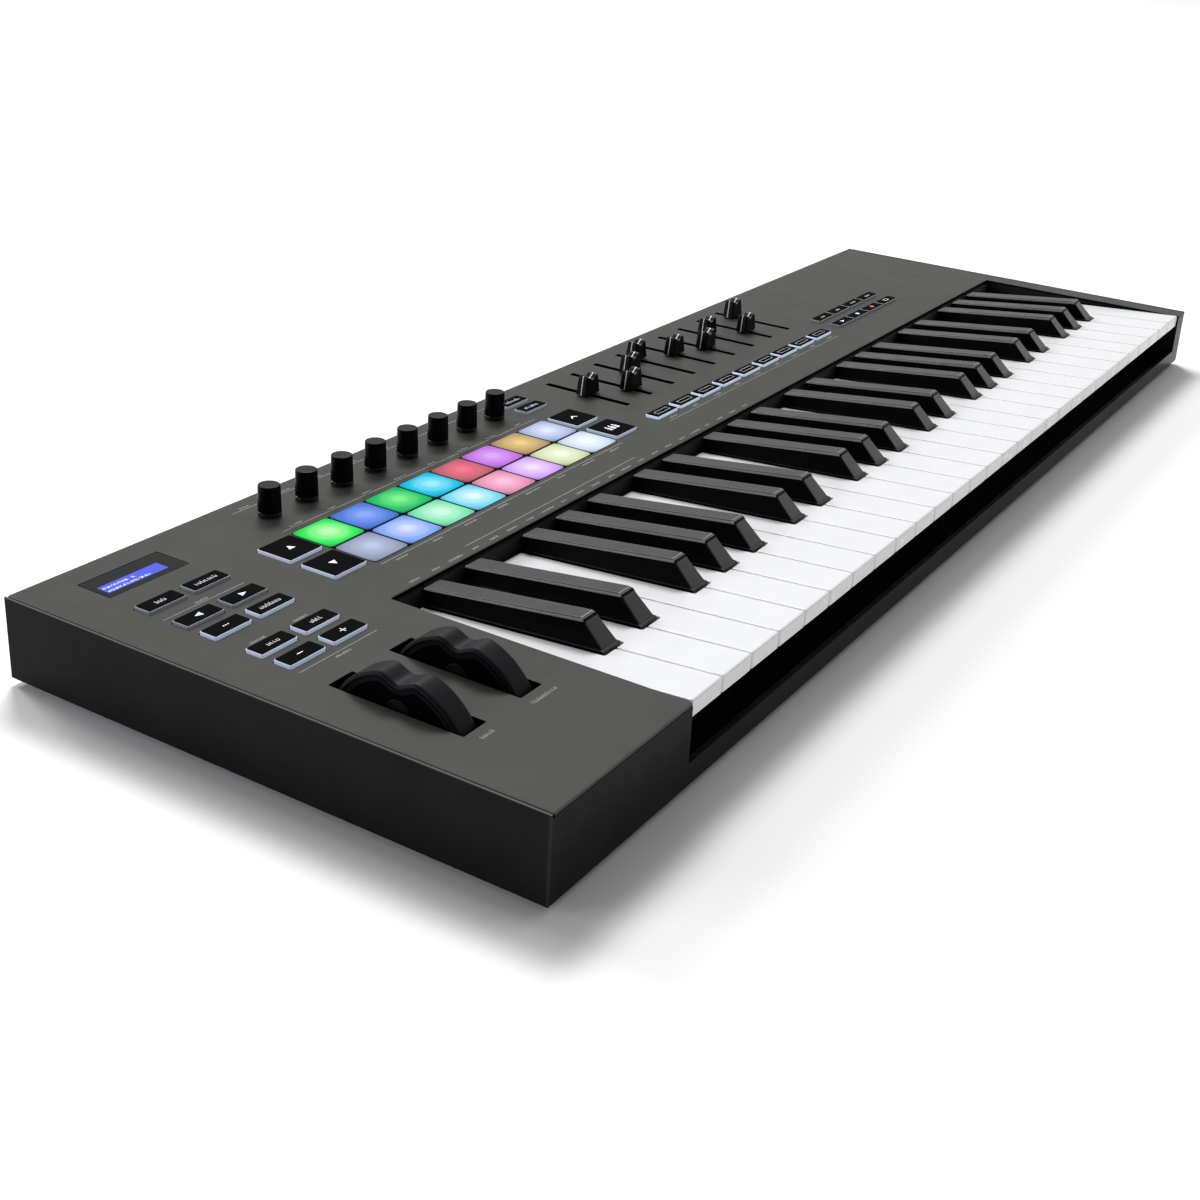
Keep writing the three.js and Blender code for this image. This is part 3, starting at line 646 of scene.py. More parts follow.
def greeked(form, chance, x, y, width, height=1.5, z=None):
    """A row of small strokes that stands in for a printed label and spells nothing."""
    left = x - width / 2
    bottom = y - height / 2
    thick = 0.2
    while left < x + width / 2 - 0.3:
        letter = height * chance.choice((0.35, 0.5, 0.6))
        tall = height * chance.choice((0.7, 0.7, 1.0))
        stroke(form, left, left + thick, bottom, bottom + tall, z, 0.03)
        stroke(form, left, left + letter, bottom, bottom + thick, z, 0.035)
        if letter > height * 0.4:
            stroke(form, left + letter - thick, left + letter, bottom, bottom + height * 0.7, z, 0.04)
        left += letter + height * 0.3


def rule(form, x0, x1, y, thick=0.2):
    stroke(form, x0, x1, y - thick / 2, y + thick / 2)


# Where the printing lies, measured back from the front edge, and how wide its labels are.
SMALL_RULES = (126.4, 195.4)
SMALL_LABELS = ((124.2, 9), (197.2, 7))
ARP_LABELS = 156.4
PAD_RULES = (164.0, 218.4, 248.6)
# place, shift along X, height, and the width of each label
PAD_LABELS = (
    (161.9, 0, 1.5, (8, 6, 9, 7, 11, 6, 10, 8)),
    (220.4, -1.5, 1.3, (8, 5, 7, 9, 6, 8, 7, 5)),
    (250.6, -1.5, 1.3, (6, 9, 5, 8, 7, 6, 9, 7)),
)
KEY_LABELS = (143.6, (7, 5, 9, 4, 6))
KEY_LABEL_COUNT = 22
KEY_RULE = 147.72
FADER_LABELS = (164.6, (7, 6, 8, 6, 7, 5, 8, 6, 7))
FADER_RULE = 161.9
WHEEL_LABELS = (46.4, (7, 14))


def make_printing():
    chance = random.Random(7)
    form = Form()
    small_x = [c[0] for c in cells("octave_buttons", 2, 1, SMALL)]
    for y in SMALL_RULES:
        rule(form, small_x[0] - SMALL[0] / 2, small_x[1] + SMALL[0] / 2, y)
    for y, width in SMALL_LABELS:
        greeked(form, chance, sum(small_x) / 2, y, width)
    for x in small_x:
        greeked(form, chance, x, ARP_LABELS, 8)
    pad_x = [c[0] for c in cells("pads_front_row", 8, 1, (PAD, PAD))]
    for y in PAD_RULES:
        rule(form, pad_x[0] - PAD / 2, pad_x[-1] + PAD / 2, y, 0.24)
    for i, x in enumerate(pad_x):
        for y, shift, height, widths in PAD_LABELS:
            greeked(form, chance, x + shift, y, widths[i], height)
    y, widths = KEY_LABELS
    for i in range(KEY_LABEL_COUNT):
        x = WELL_LEFT + 20 + i * WHITE_PITCH * 0.585
        greeked(form, chance, x, y, widths[i % len(widths)], 1.4)
    rule(form, WELL_LEFT + 60, WELL_LEFT + 200, KEY_RULE, 0.24)
    y, widths = FADER_LABELS
    fader_x = [middle(f"fader_cap_{i + 1}").x for i in range(FADERS)]
    for x, width in zip(fader_x, widths):
        greeked(form, chance, x, y, width)
    rule(form, fader_x[0] - 8, fader_x[-1] + 8, FADER_RULE)
    y, widths = WHEEL_LABELS
    for wheel, width in zip(WHEELS, widths):
        greeked(form, chance, middle(wheel).x, y, width, 1.9)
    piece("panel_printing", form, "case", [PRINT])


# ---- case
def refine(node, material, bevel, segments=2):
    """Keeps a CAD node, and rounds its edges with modifiers."""
    made = frame["nodes"][node]
    made.data.materials.clear()
    made.data.materials.append(material)
    weld = made.modifiers.new("weld", "WELD")
    weld.merge_threshold = WELD_REACH
    planar = made.modifiers.new("planar", "DECIMATE")
    planar.decimate_type = "DISSOLVE"
    planar.angle_limit = FLAT_ANGLE
    edges = made.modifiers.new("edges", "BEVEL")
    edges.width = bevel * MM
    edges.segments = segments
    edges.limit_method = "ANGLE"
    edges.angle_limit = BEVEL_ANGLE
    edges.harden_normals = True


def make_case():
    refine("bottom_case", CASE, 0.45, 3)
    refine("socket_plate", CASE, 0.2, 3)
    refine("keybed_chassis", INSIDE_BLACK_AND_SHADE, 0.3)
    refine("wheel_bracket", INSIDE_BLACK_AND_SHADE, 0.3)
    refine("key_contact_board", BOARD, 0.15, 1)
    refine("control_board", BOARD, 0.1, 1)
    refine("lcd_module", LCD_LIT, 0.2)
    refine("key_dust_strip", FELT, 0.5)
    refine("usb_socket", METAL, 0.25)
    refine("midi_out_socket", SOCKET, 0.3)
    refine("pedal_jack", SOCKET, 0.25)
    for end in ("front", "back"):
        for side in ("left", "right"):
            refine(f"foot_{end}_{side}", FOOT, 0.4)


# ---- keys
def neck_edges(step):
    """The sides of a white key behind its head, where the black keys pass between."""
    left = step * WHITE_PITCH
    right = left + WHITE_PITCH
    near = [x for x in BLACK_LEFTS if left - BLACK_WIDTH < x < right]
    after = [x + BLACK_WIDTH + BLACK_CLEAR for x in near if x <= left]
    before = [x - BLACK_CLEAR for x in near if x > left]
    return max([left + KEY_GAP / 2, *after]), min([right - KEY_GAP / 2, *before])


def comb_bar(node, material):
    """Makes the bar that joins the keys of a comb, and tells where its underside is."""
    low, high = span(node)
    bar = Form()
    block(bar, low.x, high.x, BAR_FRONT, BAR_BACK, low.z, low.z + BAR_THICK, 0.4)
    piece(f"{node}_bar", bar, node, [material], [node])
    return low.z


def tail(form, x0, x1, back, top, bar_bottom, finish=0):
    """The stem behind a key, and its foot on the bar."""
    block(form, x0, x1, TAIL_FRONT, back, bar_bottom, top, 0.3, finish)
    block(form, x0 + 0.2, x1 - 0.2, TAIL_FRONT + 1, BAR_FRONT + 1, bar_bottom, bar_bottom + BAR_THICK, 0.2,
          finish)


def white_key(form, x0, step, bar_bottom):
    left = x0 + step * WHITE_PITCH + KEY_GAP / 2
    right = left + WHITE_PITCH - KEY_GAP
    neck_left, neck_right = (x0 + edge for edge in neck_edges(step))
    lip = KEY_FRONT + LIP_THICK
    corners = [(left, KEY_FRONT), (right, KEY_FRONT), (right, lip), (right, lip + 0.4)]
    radii = [0.7, 0.7, 0, 0]
    if right - neck_right > 0.1:
        corners += [(right, HEAD_BACK), (neck_right, HEAD_BACK)]
        radii += [0.6, 0.8]
    corners += [(neck_right, KEY_BACK), (neck_left, KEY_BACK)]
    radii += [0.3, 0.3]
    if neck_left - left > 0.1:
        corners += [(neck_left, HEAD_BACK), (left, HEAD_BACK)]
        radii += [0.8, 0.6]
    corners += [(left, lip + 0.4), (left, lip)]
    radii += [0, 0]
    outline = rounded(corners, radii, 3)
    edge = 0.55
    thick = WHITE_TOP - LIP_BOTTOM
    rings = [lift(inset(outline, 0.25), -thick), lift(outline, 0.25 - thick)]
    rings += round_rings(outline, 0.3 - thick, 0, edge, 4)[1:]
    form.loft(rings)
    # The slab is thinner behind the lip, rounder along its front edge, and falls towards the back.
    shaped = []
    for x, y, z in form.points:
        if z < -thick / 2 and y > lip + 0.2:
            z += thick - WHITE_SLAB
        if z > -edge - 0.01 and y < KEY_FRONT + edge + 0.05:
            y = KEY_FRONT + (y - KEY_FRONT) * 2.4
        shaped.append((x, y, z + white_top(y)))
    form.points[:] = shaped
    tail(form, neck_left, neck_right, KEY_BACK + 1, TAIL_TOP, bar_bottom)


def make_white_keys():
    for octave in range(1, OCTAVES + 1):
        for comb, steps in COMBS.items():
            node = f"{comb}_{octave}"
            bar_bottom = comb_bar(node, WHITE_KEY)
            x0 = KEY_START + (octave - 1) * OCTAVE
            own_steps = steps + [7] if comb == "keys_c_e_g_b" and octave == OCTAVES else steps
            for step in own_steps:
                form = Form()
                white_key(form, x0, step, bar_bottom)
                # Faces that don't look upwards take the lighter copy, as painted light.
                form.finishes[:] = [int(face_normal(form, face).z < 0.3) for face in form.faces]
                piece(f"white_key_{(octave - 1) * 7 + step + 1}", form, node, [WHITE_KEY, WHITE_SIDE_LIGHTENED])


def black_ring(x, inset_front, inset_back, front, z_front, z_back, pull, radius):
    """A rounded rectangle in plan that narrows and slopes towards the back."""
    back = BLACK_BACK - pull
    corners = [
        (x + inset_front, front), (x + BLACK_WIDTH - inset_front, front),
        (x + BLACK_WIDTH - inset_back, back), (x + inset_back, back),
    ]
    fall = (z_back - z_front) / (back - front)
    return [(px, py, z_front + fall * (py - front)) for px, py in rounded(corners, radius)]


def black_key(form, x, bar_bottom):
    base_front = white_top(BLACK_FRONT)
    base_back = white_top(BLACK_BACK)
    crest = BLACK_CREST

    def ring(inset_front, inset_back, front, above_front, above_back, from_top=False, pull=0.0, radius=0.9):
        low = (BLACK_TOP_FRONT, BLACK_TOP_BACK) if from_top else (base_front, base_back)
        return black_ring(x, inset_front, inset_back, front, low[0] + above_front, low[1] + above_back,
                          pull, radius)

    sides = [
        ring(0.25, 0.25, BLACK_FRONT + 0.25, -BLACK_SKIRT, -BLACK_SKIRT),
        ring(0, 0, BLACK_FRONT, 0.3 - BLACK_SKIRT, 0.3 - BLACK_SKIRT),
        ring(0, 0, BLACK_FRONT, 0.35, 0.35),
        ring(0.1, 0.1, BLACK_FRONT + 0.1, 0.6, 0.6),
        ring(0.35, 0.3, BLACK_FRONT + 0.4, 0.75, 0.72),
        ring(0.55, 0.4, BLACK_FRONT + 1.2, 0.85, 0.8),
        ring(0.7, 0.45, BLACK_FRONT + 1.6, 1.15, 1.1),
        ring(1.55, 0.85, crest - 1.9, -2.3, -1.7, True),
        ring(1.68, 0.95, crest - 1.35, -1.35, -0.95, True, 0.1),
        ring(1.8, 1.05, crest - 0.85, -0.75, -0.55, True, 0.2),
        ring(2.0, 1.25, crest - 0.3, -0.42, -0.35, True, 0.4),
        ring(2.2, 1.45, crest + 0.2, -0.36, -0.3, True, 0.6, 0.8),
    ]
    plateau = [
        sides[-1],
        ring(2.24, 1.5, crest + 0.35, -0.10, -0.08, True, 0.7, 0.8),
        ring(2.34, 1.6, crest + 0.7, -0.02, -0.02, True, 0.8, 0.7),
        ring(2.5, 1.75, crest + 1.2, -0.096, 0.0, True, 0.9, 0.7),
    ]
    # The flanks, the shoulder with a painted highlight, the step around the top in painted shade, and its
    # border with a painted highlight.
    form.loft(sides[:9], closed=False)
    form.loft(sides[8:], 2, closed=False)
    form.loft(plateau[:2], 1, closed=False)
    form.loft(plateau[1:], 2, closed=False)
    form.base(sides[0], 1)
    form.lid(plateau[-1])
    tail(form, x + 1, x + BLACK_WIDTH - 1, BLACK_BACK - 0.5, TAIL_TOP + 1, bar_bottom, 1)


def sort_black_faces(form):
    """Sides get the dark finish of painted shade, the sloping front its own darker copy, also painted
    shade, and only long edges keep the painted highlight.
    """
    top, side, edge, slope = range(4)
    for number, face in enumerate(form.faces):
        normal = face_normal(form, face)
        finish = form.finishes[number]
        below_crest = form.points[face[0]][2] < BLACK_TOP_FRONT - 0.2
        if finish == top and abs(normal.x) > 0.8:
            form.finishes[number] = side
        elif finish == top and normal.y < -0.5:
            form.finishes[number] = slope
        elif finish == edge and normal.y < -0.35 and below_crest:
            form.finishes[number] = side


def make_black_keys():
    for octave in range(1, OCTAVES + 1):
        node = f"keys_sharps_{octave}"
        bar_bottom = comb_bar(node, BLACK_SIDE_SHADE)
        x0 = KEY_START + (octave - 1) * OCTAVE
        for i, left in enumerate(BLACK_LEFTS):
            form = Form()
            black_key(form, x0 + left, bar_bottom)
            sort_black_faces(form)
            piece(f"black_key_{(octave - 1) * 5 + i + 1}", form, node,
                  [BLACK_TOP, BLACK_SIDE_SHADE, BLACK_EDGE_HIGHLIGHT, BLACK_SLOPE_SHADE], weld=True)


# ---- pads and buttons
# rim and middle colours of the lit pads, from left to right
PAD_COLORS = {
    "pads_front_row": [
        ((0.28, 0.33, 0.45), (0.50, 0.58, 0.80)), ((0.22, 0.38, 0.90), (0.70, 0.74, 0.98)),
        ((0.20, 0.74, 0.42), (0.66, 0.98, 0.78)), ((0.17, 0.66, 0.84), (0.80, 0.94, 0.98)),
        ((0.74, 0.28, 0.42), (0.99, 0.56, 0.76)), ((0.62, 0.36, 0.92), (0.86, 0.78, 0.98)),
        ((0.62, 0.70, 0.42), (0.92, 0.97, 0.82)), ((0.58, 0.70, 0.86), (0.95, 0.97, 0.99)),
    ],
    "pads_back_row": [
        ((0.02, 0.78, 0.10), (0.56, 0.99, 0.50)), ((0.07, 0.19, 0.66), (0.27, 0.40, 0.98)),
        ((0.01, 0.50, 0.13), (0.22, 0.92, 0.26)), ((0.00, 0.52, 0.74), (0.35, 0.85, 0.95)),
        ((0.50, 0.12, 0.16), (0.98, 0.17, 0.26)), ((0.52, 0.17, 0.72), (0.72, 0.40, 0.98)),
        ((0.48, 0.32, 0.15), (0.88, 0.64, 0.22)), ((0.40, 0.48, 0.74), (0.78, 0.82, 0.98)),
    ],
}


def make_pads():
    for node, colors in PAD_COLORS.items():
        low, high = span(node)
        web = Form()
        block(web, low.x, high.x, low.y, high.y, low.z, low.z + 1.2, 0.3)
        piece(f"{node}_web", web, node, [PAD_SIDE], [node])
        for i, ((x, y), (edge, centre)) in enumerate(zip(cells(node, 8, 1, (PAD, PAD)), colors)):
            size = PAD - 0.1
            outline = rounded(around((x, y), (size, size)), 1.8, 5)
            rings = round_rings(outline, low.z + 0.8, high.z - 0.25, 0.4, 3)
            for pull, rise in ((2.0, -0.17), (5.0, -0.07), (8.5, 0.0)):
                share = 1 - pull / (size / 2)
                rings.append([
                    (x + (px - x) * share, y + (py - y) * share, high.z + rise) for px, py in outline
                ])
            form = Form()
            form.loft(rings[:2], 1, closed=False)
            form.loft(rings[1:], closed=False)
            form.base(rings[0], 1)
            form.lid(rings[-1])
            name = f"{node.replace('_row', '').replace('pads', 'pad')}_{i + 1}"
            materials = [lit_pad(f"{name}_light", edge, centre), PAD_SIDE]
            piece(name, form, node, materials, weld=True)


# The marks of each icon around its centre: a bar as (x0, x1, y0, y1), and another shape as its corners.
ICON_MARKS = {
    "left": [[(-1.9, 0), (1.5, -1.5), (1.5, 1.5)]],
    "right": [[(1.9, 0), (-1.5, 1.5), (-1.5, -1.5)]],
    "up": [[(0, 1.9), (-1.9, -1.5), (1.9, -1.5)]],
    "down": [[(0, -1.9), (1.9, 1.5), (-1.9, 1.5)]],
    "chevron": [[(0, 1.4), (-2.6, -1.0), (-2.0, -1.5), (0, 0.3), (2.0, -1.5), (2.6, -1.0)]],
    "record": [circle(0, 0, 1.5, 24)],
    "stop": [(-1.3, 1.3, -1.3, 1.3)],
    "minus": [(-1.5, 1.5, -0.2, 0.2)],
    "plus": [(-1.6, 1.6, -0.2, 0.2), (-0.2, 0.2, -1.6, 1.6)],
    "dots": [(dx - 0.3, dx + 0.3, -0.3, 0.3) for dx in (-1.2, 0, 1.2)],
    "slot": [
        (-6.4, 6.4, -1.5, -1.35), (-6.4, 6.4, 1.35, 1.5), (-6.4, -6.25, -1.5, 1.5), (6.25, 6.4, -1.5, 1.5)
    ],
    "loop": [
        (-2.6, 2.6, 0.95, 1.3), (-2.6, 2.6, -1.3, -0.95), (-2.6, -2.2, -1.3, 1.3), (2.2, 2.6, -1.3, 1.3)
    ],
    "bars": [
        mark for dx in (-3.2, 0, 3.2) for mark in (
            (dx - 1.0, dx + 1.0, -2.6, -1.2), (dx - 1.0, dx + 1.0, -0.8, 0.6),
            [(dx, 2.8), (dx - 1.0, 1.2), (dx + 1.0, 1.2)])
    ],
}
WORD_WIDTHS = {"word": 5.4, "long_word": 11.5}


def draw_icon(form, kind, centre, z, chance):
    """Raised marks on a button cap. Words are replaced by strokes that spell nothing."""
    x, y = centre
    if kind in WORD_WIDTHS:
        greeked(form, chance, x, y, WORD_WIDTHS[kind], 2.2, z)
        return
    for mark in ICON_MARKS[kind]:
        if isinstance(mark, tuple):
            x0, x1, y0, y1 = mark
            stroke(form, x + x0, x + x1, y + y0, y + y1, z, ICON_HEIGHT)
        else:
            corners = [(x + px, y + py) for px, py in mark]
            form.loft([lift(corners, z - ICON_HEIGHT), lift(corners, z + ICON_HEIGHT)])


def make_buttons():
    chance = random.Random(11)
    for node, (columns, rows), size, surround, icons in BUTTON_GROUPS:
        low, high = span(node)
        keypad = Form()
        caps = Form()
        marks = {"icons": (ICON, Form()), "record_icon": (ICON_RED, Form())}
        block(keypad, low.x, high.x, low.y, high.y, low.z, low.z + 1.2, 0.3)
        cap_top = high.z - 0.06
        for centre, icon in zip(cells(node, columns, rows, size), icons):
            outline = rounded(around(centre, size, -0.05), 0.9, 5)
            slab(keypad, outline, low.z + 0.6, high.z - 0.3, 0.25)
            cap = rounded(around(centre, size, -0.42), 0.65, 5)
            slab(caps, cap, high.z - 0.4, cap_top, 0.12, 0, 2)
            _, form = marks["record_icon" if icon == "record" else "icons"]
            draw_icon(form, icon, centre, cap_top, chance)
        stem = node.replace("_buttons", "")
        piece(f"{stem}_keypad", keypad, node, [surround], [node])
        piece(f"{stem}_caps", caps, node, [BUTTON_TOP])
        for suffix, (material, form) in marks.items():
            if form.points:
                piece(f"{stem}_{suffix}", form, node, [material])


# ---- knobs, faders, wheels
def make_knobs():
    for i in range(KNOBS):
        node = f"knob_{i + 1}"
        low, high = span(node)
        centre = middle(node)
        base = PANEL_TOP
        top = high.z - base
        radius = (high.x - low.x) / 2
        form = Form()
        lathe(form, [
            (2.9, low.z - base), (2.9, 0.62), (radius - 0.5, 0.62), (radius - 0.12, 0.75),
            (radius, 1.1), (radius, 2.1), (radius - 0.08, 2.4), (radius - 0.3, 2.55),
        ], KNOB_SIDES, 1)
        crown = [
            (radius - 0.28, 2.5), (radius - 0.1, 2.75), (radius - 0.1, 3.2), (radius - 0.36, top - 1.1)
        ]
        for turn in quarter_turn(4):
            crown.append((radius - 0.9 + 0.5 * math.cos(turn), top - 0.6 + 0.5 * math.sin(turn)))
        side_levels = len(crown) - 3
        crown += [(radius - 1.6, top), (radius - 1.8, top - 0.08), (1.0, top - 0.08)]
        first_top = len(form.faces) + KNOB_SIDES * side_levels
        lathe(form, crown, KNOB_SIDES)
        form.finishes[first_top:] = [2] * (len(form.faces) - first_top)
        form.turn(Matrix.Translation((centre.x, centre.y, base)))
        piece(node + "_cap", form, node, [KNOB, KNOB_SKIRT, KNOB_TOP], [node])


def cap_outline(half_width, half_depth, radius, steps):
    """A rounded rectangle with extra points along its front and back edges."""
    outline = []
    for turn, (side_x, side_y) in enumerate(((1, -1), (1, 1), (-1, 1), (-1, -1))):
        centre_x = side_x * (half_width - radius)
        centre_y = side_y * (half_depth - radius)
        for k in range(4):
            angle = math.pi / 2 * (turn - 1 + k / 3)
            outline.append((centre_x + radius * math.cos(angle), centre_y + radius * math.sin(angle)))
        if side_x == side_y:
            run = 2 * (half_width - radius) / steps
            outline += [(centre_x - side_x * run * k, side_y * half_depth) for k in range(1, steps)]
    return outline


def make_faders():
    steps = 14
    side_points = 8
    count = 2 * (side_points + steps - 1)
    # Numbers of the outline's points along its back and front edges, both from right to left.
    back_line = list(range(side_points - 1, side_points + steps))
    front_line = [0, *range(count - 1, count - 1 - steps, -1)]
    ends = [list(range(side_points)), list(range(back_line[-1], front_line[-1] + 1))]
    for i in range(FADERS):
        node = f"fader_cap_{i + 1}"
        low, high = span(node)
        centre = middle(node)
        base_z = PANEL_TOP + CAP_FLOAT
        height = high.z - base_z
        base_half = ((high.x - low.x) / 2, (high.y - low.y) / 2)
        top_half = (CAP_TOP[0] / 2, CAP_TOP[1] / 2)

        def scoop(x):
            return CAP_SCOOP * math.cos(min(abs(x) / top_half[0], 1) * math.pi / 2) ** 2

        def level(share, z, pull=0.0, dip=0.0):
            half = [b + (t - b) * share - pull for b, t in zip(base_half, top_half)]
            outline = cap_outline(*half, 1.0 - pull * 0.6, steps)
            return [(x, y, z - dip * scoop(x)) for x, y in outline]

        form = Form()
        rings = [
            level(0, 0.0, 0.3), level(0, 0.3), level(0.3, height * 0.3), level(0.6, height * 0.6, 0, 0.15),
            level(0.85, height * 0.85, 0, 0.7), level(0.96, height - 0.7, 0, 0.95),
            level(1, height - 0.3, 0.05, 1), level(1, height - 0.08, 0.22, 1), level(1, height, 0.5, 1),
        ]
        form.loft(rings, closed=False)
        form.base(rings[0])
        strips = [
            [front_line[k + 1], front_line[k], back_line[k], back_line[k + 1]] for k in range(steps)
        ]
        form.add(rings[-1], strips + ends)
        block(form, -0.6, 0.6, -2, 2, low.z - base_z, 0.8, 0.1)
        form.turn(Matrix.Translation((centre.x, centre.y, base_z)))
        piece(node + "_body", form, node, [CAP], [node], weld=True)

        line = Form()
        slant = base_half[0] - top_half[0]
        side = [(share, height * share) for share in (0.3, 0.6, 0.85)]
        side = [(0.02, 0.3), *side, (0.96, height - 0.7)]
        path = [(slant * share - base_half[0] - 0.05, z) for share, z in side]
        path += [(-top_half[0], height - 0.3), (0.16 - top_half[0], height - 0.02)]
        reach = top_half[0] - 0.5
        path += [(x, height + 0.04 - scoop(x)) for x in [reach * (k / 8 - 1) for k in range(17)]]
        line.loft([
            [(x, -0.3, z), (x, 0.3, z), (x + 0.2, 0.3, z - 0.3), (x + 0.2, -0.3, z - 0.3)] for x, z in path
        ])
        line.turn(Matrix.Translation((centre.x, centre.y, base_z)))
        piece(node + "_line", line, node, [MARK])


def wheel_outline(radius, saddle_half, saddle_depth, hub):
    """The fan of a wheel in its own plane, as (forward, up) points, running anticlockwise."""
    outline = []
    for k in range(-32, 33):
        angle = math.radians(WHEEL_SPREAD * k / 32)
        across = radius * angle
        dip = 0.0
        if abs(across) < saddle_half:
            dip = saddle_depth * math.cos(across / saddle_half * math.pi / 2) ** 2
        outline.append(((radius - dip) * math.sin(angle), (radius - dip) * math.cos(angle)))
    for k in range(9):
        angle = math.radians(110 + 17.5 * k)
        outline.append((hub * math.sin(angle), hub * math.cos(angle)))
    return outline[::-1]


def make_wheels():
    for node in WHEELS:
        low, high = span(node)
        joint = next(j for j in frame["joints"] if j["child"] == node)
        axle = (Vector(joint["pos_m"]) - ORIGIN) / MM
        radius = (high.y - low.y) / 2 / math.sin(math.radians(WHEEL_SPREAD))
        half = WHEEL_HALF
        outline = wheel_outline(radius, saddle_half=9.5, saddle_depth=4, hub=8)
        form = Form()
        profile = [(5.0, half - 1.8), (4.5, half - 1.8), (4.2, half - 0.75), (3.9, half - 0.5),
                   (2.6, half - 0.4), (2.35, half - 0.95), (1.95, half - 0.95), (1.7, half - 0.3)]
        for turn in quarter_turn(4):
            profile.append((1.5 - 1.5 * math.sin(turn) ** 1.2, half - 1.4 + 1.4 * math.cos(turn)))
        profile += [(0.0, half - 2.4)]
        mirrored = [(pull, -x) for pull, x in profile][::-1]
        rings = [lift(inset(outline, pull), x) for pull, x in profile + mirrored]
        form.loft(rings, 0)
        last = len(form.faces)
        # The two side faces and the bands next to them take the side finish: black, deepened to near black
        # as painted shade.
        form.finishes[last - 2:] = [1, 1]
        ring_count = len(outline)
        for face in range(last - 2):
            level = face // ring_count
            if level < 2 or level > len(rings) - 4:
                form.finishes[face] = 1
        boss = [
            (0, 0), (BOSS_RADIUS, 0), (BOSS_RADIUS, 0.8), (BOSS_RADIUS - 0.3, 1.1),
            (BOSS_RADIUS - 0.7, 1.1), (BOSS_RADIUS - 1, 0.7), (0, 0.7),
        ]
        boss_rise = PANEL_TOP - BOSS_DROP - axle.z
        for side in (-1, 1):
            start = len(form.points)
            lathe(form, boss, 40)
            outwards = Matrix.Scale(side, 4, (0, 0, 1))
            form.turn(Matrix.Translation((0, boss_rise, side * (half - 1.9))) @ outwards, start)
        start = len(form.points)
        shaft = (high.x - low.x) / 2
        lathe(form, [(2.6, -shaft), (3, -shaft + 0.4), (3, shaft - 0.4), (2.6, shaft)], 32, 1)
        upright = Matrix(((0, 0, 1, 0), (1, 0, 0, 0), (0, 1, 0, 0), (0, 0, 0, 1)))
        form.turn(Matrix.Translation(axle) @ upright)
        piece(node + "_body", form, node, [RUBBER, WHEEL_SIDE_AND_SHADE], [node])


# ---- display
def make_display():
    chance = random.Random(23)
    window = Form()
    outline = rounded(rectangle(DISPLAY_LOW.x, DISPLAY_HIGH.x, DISPLAY_LOW.y, DISPLAY_HIGH.y), 0.5, 3)
    slab(window, outline, DISPLAY_LOW.z, DISPLAY_HIGH.z - 0.04, 0.15)
    piece("display_glass_pane", window, "case", [GLASS], ["display_window"])
    lit = Form()
    area = rounded(rectangle(LIT_LOW[0], LIT_HIGH[0], LIT_LOW[1], LIT_HIGH[1]), 0.2, 2)
    slab(lit, area, DISPLAY_HIGH.z - 0.06, DISPLAY_HIGH.z - 0.02, 0.01, 0, 1)
    piece("display_lit_area", lit, "case", [LCD_LIT])
    marks = Form()
    columns = 16
    cell = (LIT_HIGH[0] - LIT_LOW[0] - 1.6) / columns
    dot = cell / 6.4
    for line, count in ((1, 9), (0, 12)):
        for column in range(count):
            if chance.random() < 0.1:
                continue
            x = LIT_LOW[0] + 0.8 + column * cell
            y = LIT_LOW[1] + 0.7 + line * 3.1
            for u in range(5):
                for v in range(5):
                    if chance.random() < 0.52:
                        stroke(marks, x + u * dot, x + (u + 0.86) * dot, y + v * dot, y + (v + 0.86) * dot,
                               DISPLAY_HIGH.z - 0.03, 0.03)
    piece("display_marks", marks, "case", [LCD_MARK])


# ---- stage, light and camera
def make_floor():
    size = 6.0
    mesh = bpy.data.meshes.new("floor")
    mesh.from_pydata(lift(rectangle(-size, size, -size, size), 0), [], [(0, 1, 2, 3)])
    finish = Finish("floor_pale", (0.92, 0.92, 0.92), 0.6)
    finish.mottled((0.915, 0.915, 0.915), (0.925, 0.925, 0.925), 3)
    mesh.materials.append(finish.material)
    floor = new_object("floor", mesh)


def area_light(name, place, aim, size, power, color=(1, 1, 1)):
    data = bpy.data.lights.new(name, "AREA")
    data.shape = "RECTANGLE"
    data.size, data.size_y = size
    data.energy = power
    data.color = color
    lamp = new_object(name, data)
    lamp.location = place
    lamp.rotation_mode = "QUATERNION"
    lamp.rotation_quaternion = (Vector(aim) - Vector(place)).to_track_quat("-Z", "Y")


# The sky is brightest on the side of the high keys, and dimmer everywhere else.
SKY_SIDE = (0.863, 0.076, 0.5)
SKY_FADE = (0.2, 0.85)
SKY_RANGE = (0.13, 0.61)


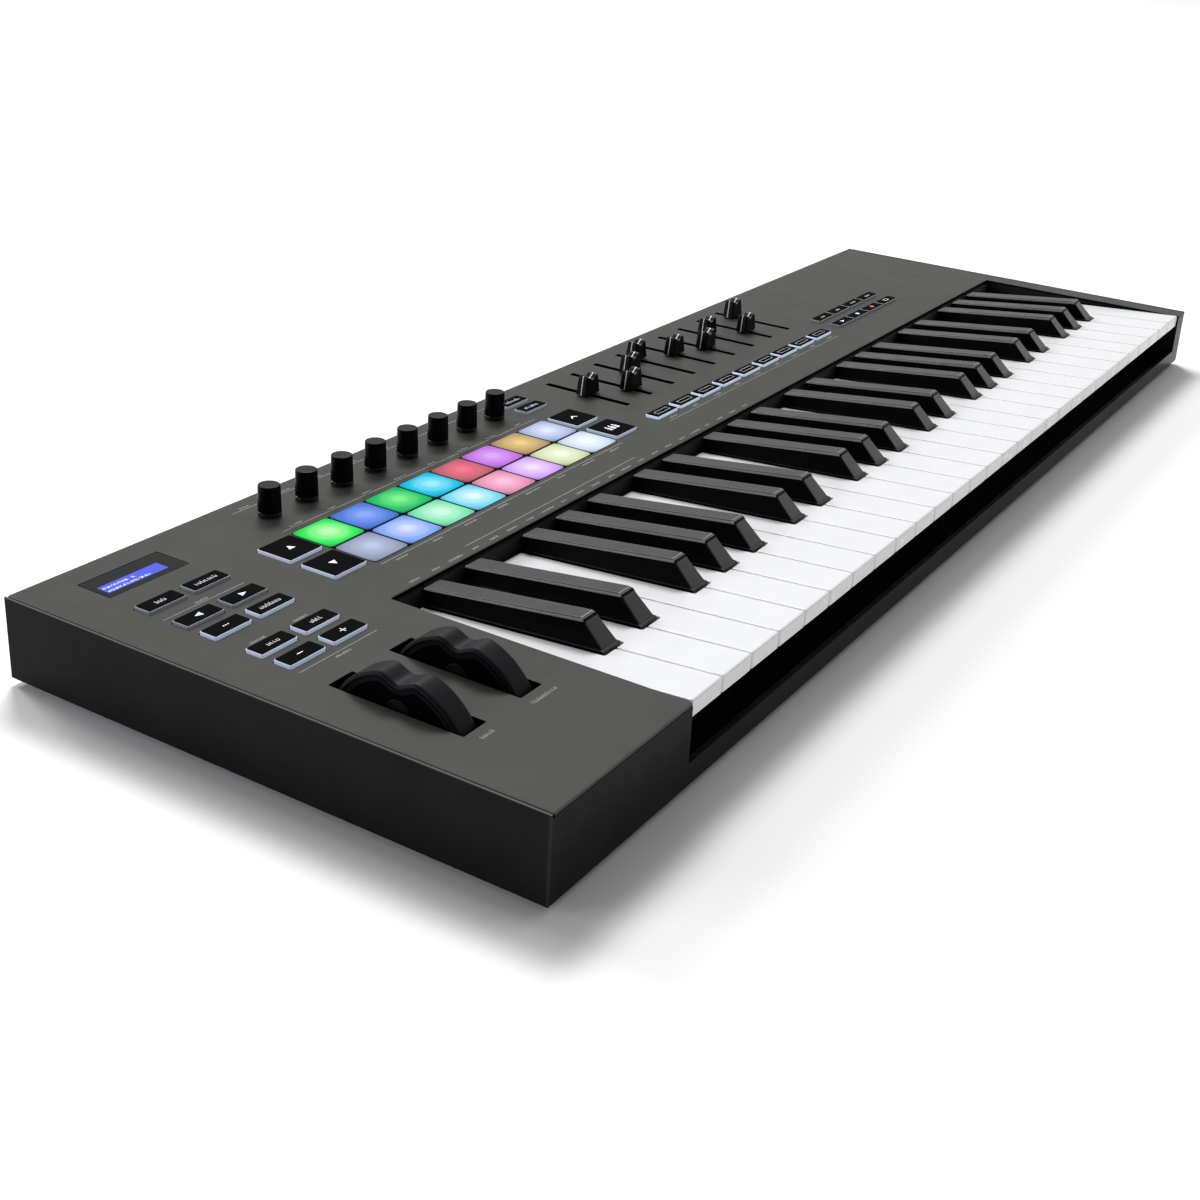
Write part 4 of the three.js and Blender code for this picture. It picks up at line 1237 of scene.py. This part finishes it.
def make_light():
    world = bpy.data.worlds.new("studio")
    world.use_nodes = True
    tree = world.node_tree
    place = new_node(tree, "TexCoord")
    towards = new_node(tree, "VectorMath", {1: SKY_SIDE})
    towards.operation = "DOT_PRODUCT"
    tree.links.new(place.outputs["Generated"], towards.inputs[0])
    fade = new_node(tree, "MapRange", ranges(*SKY_FADE, *SKY_RANGE))
    fade.interpolation_type = "SMOOTHSTEP"
    tree.links.new(towards.outputs["Value"], fade.inputs["Value"])
    tree.links.new(fade.outputs["Result"], tree.nodes["Background"].inputs["Strength"])
    tree.nodes["Background"].inputs["Color"].default_value = (1, 1, 1, 1)
    bpy.context.scene.world = world
    area_light("softbox_key", (2.3, 2.4, 4.2), (-0.1, 0, 0), (2.0, 1.5), 240)
    area_light("softbox_back", (0.3, 3.3, 2.2), (-0.1, 0, 0), (1.0, 1.0), 66)
    area_light("fill_left", (-1.6, 1.2, 0.5), (-0.4, 0, 0), (1.0, 0.8), 13, (0.94, 0.96, 1.0))
    area_light("fill_right", (2.2, -1.4, 0.8), (0.3, 0, 0), (2.0, 1.2), 6)


# The camera stands off the left end and in front, in case millimetres.
CAMERA_PLACE = (-376.32, -242.21, 326.97)
CAMERA_AZIMUTH = 59.9893
CAMERA_FALL = 22.2296
CAMERA_ROLL = 3.5688
CAMERA_LENS = 49.51
CAMERA_SHIFT = (-0.0326, -0.0808)


def make_camera():
    azimuth = math.radians(CAMERA_AZIMUTH)
    fall = math.radians(CAMERA_FALL)
    roll = math.radians(CAMERA_ROLL)
    level_share = math.cos(fall)
    ahead = Vector((math.sin(azimuth) * level_share, math.cos(azimuth) * level_share, -math.sin(fall)))
    level = ahead.cross(Vector((0, 0, 1))).normalized()
    upright = level.cross(ahead)
    right = math.cos(roll) * level + math.sin(roll) * upright
    up = math.cos(roll) * upright - math.sin(roll) * level
    data = bpy.data.cameras.new("camera")
    data.lens = CAMERA_LENS
    data.sensor_width = 36
    data.shift_x, data.shift_y = CAMERA_SHIFT
    data.clip_start = 0.02
    camera = new_object("camera", data)
    turned = Matrix((right, up, -ahead)).transposed().to_4x4()
    camera.matrix_world = Matrix.Translation(row(CAMERA_PLACE)) @ turned
    bpy.context.scene.camera = camera


# ---- assembly
make_camera()
make_panel()
make_printing()
make_case()
make_white_keys()
make_black_keys()
make_pads()
make_buttons()
make_knobs()
make_faders()
make_wheels()
make_display()
make_floor()
make_light()
bpy.context.scene.view_settings.view_transform = "Standard"
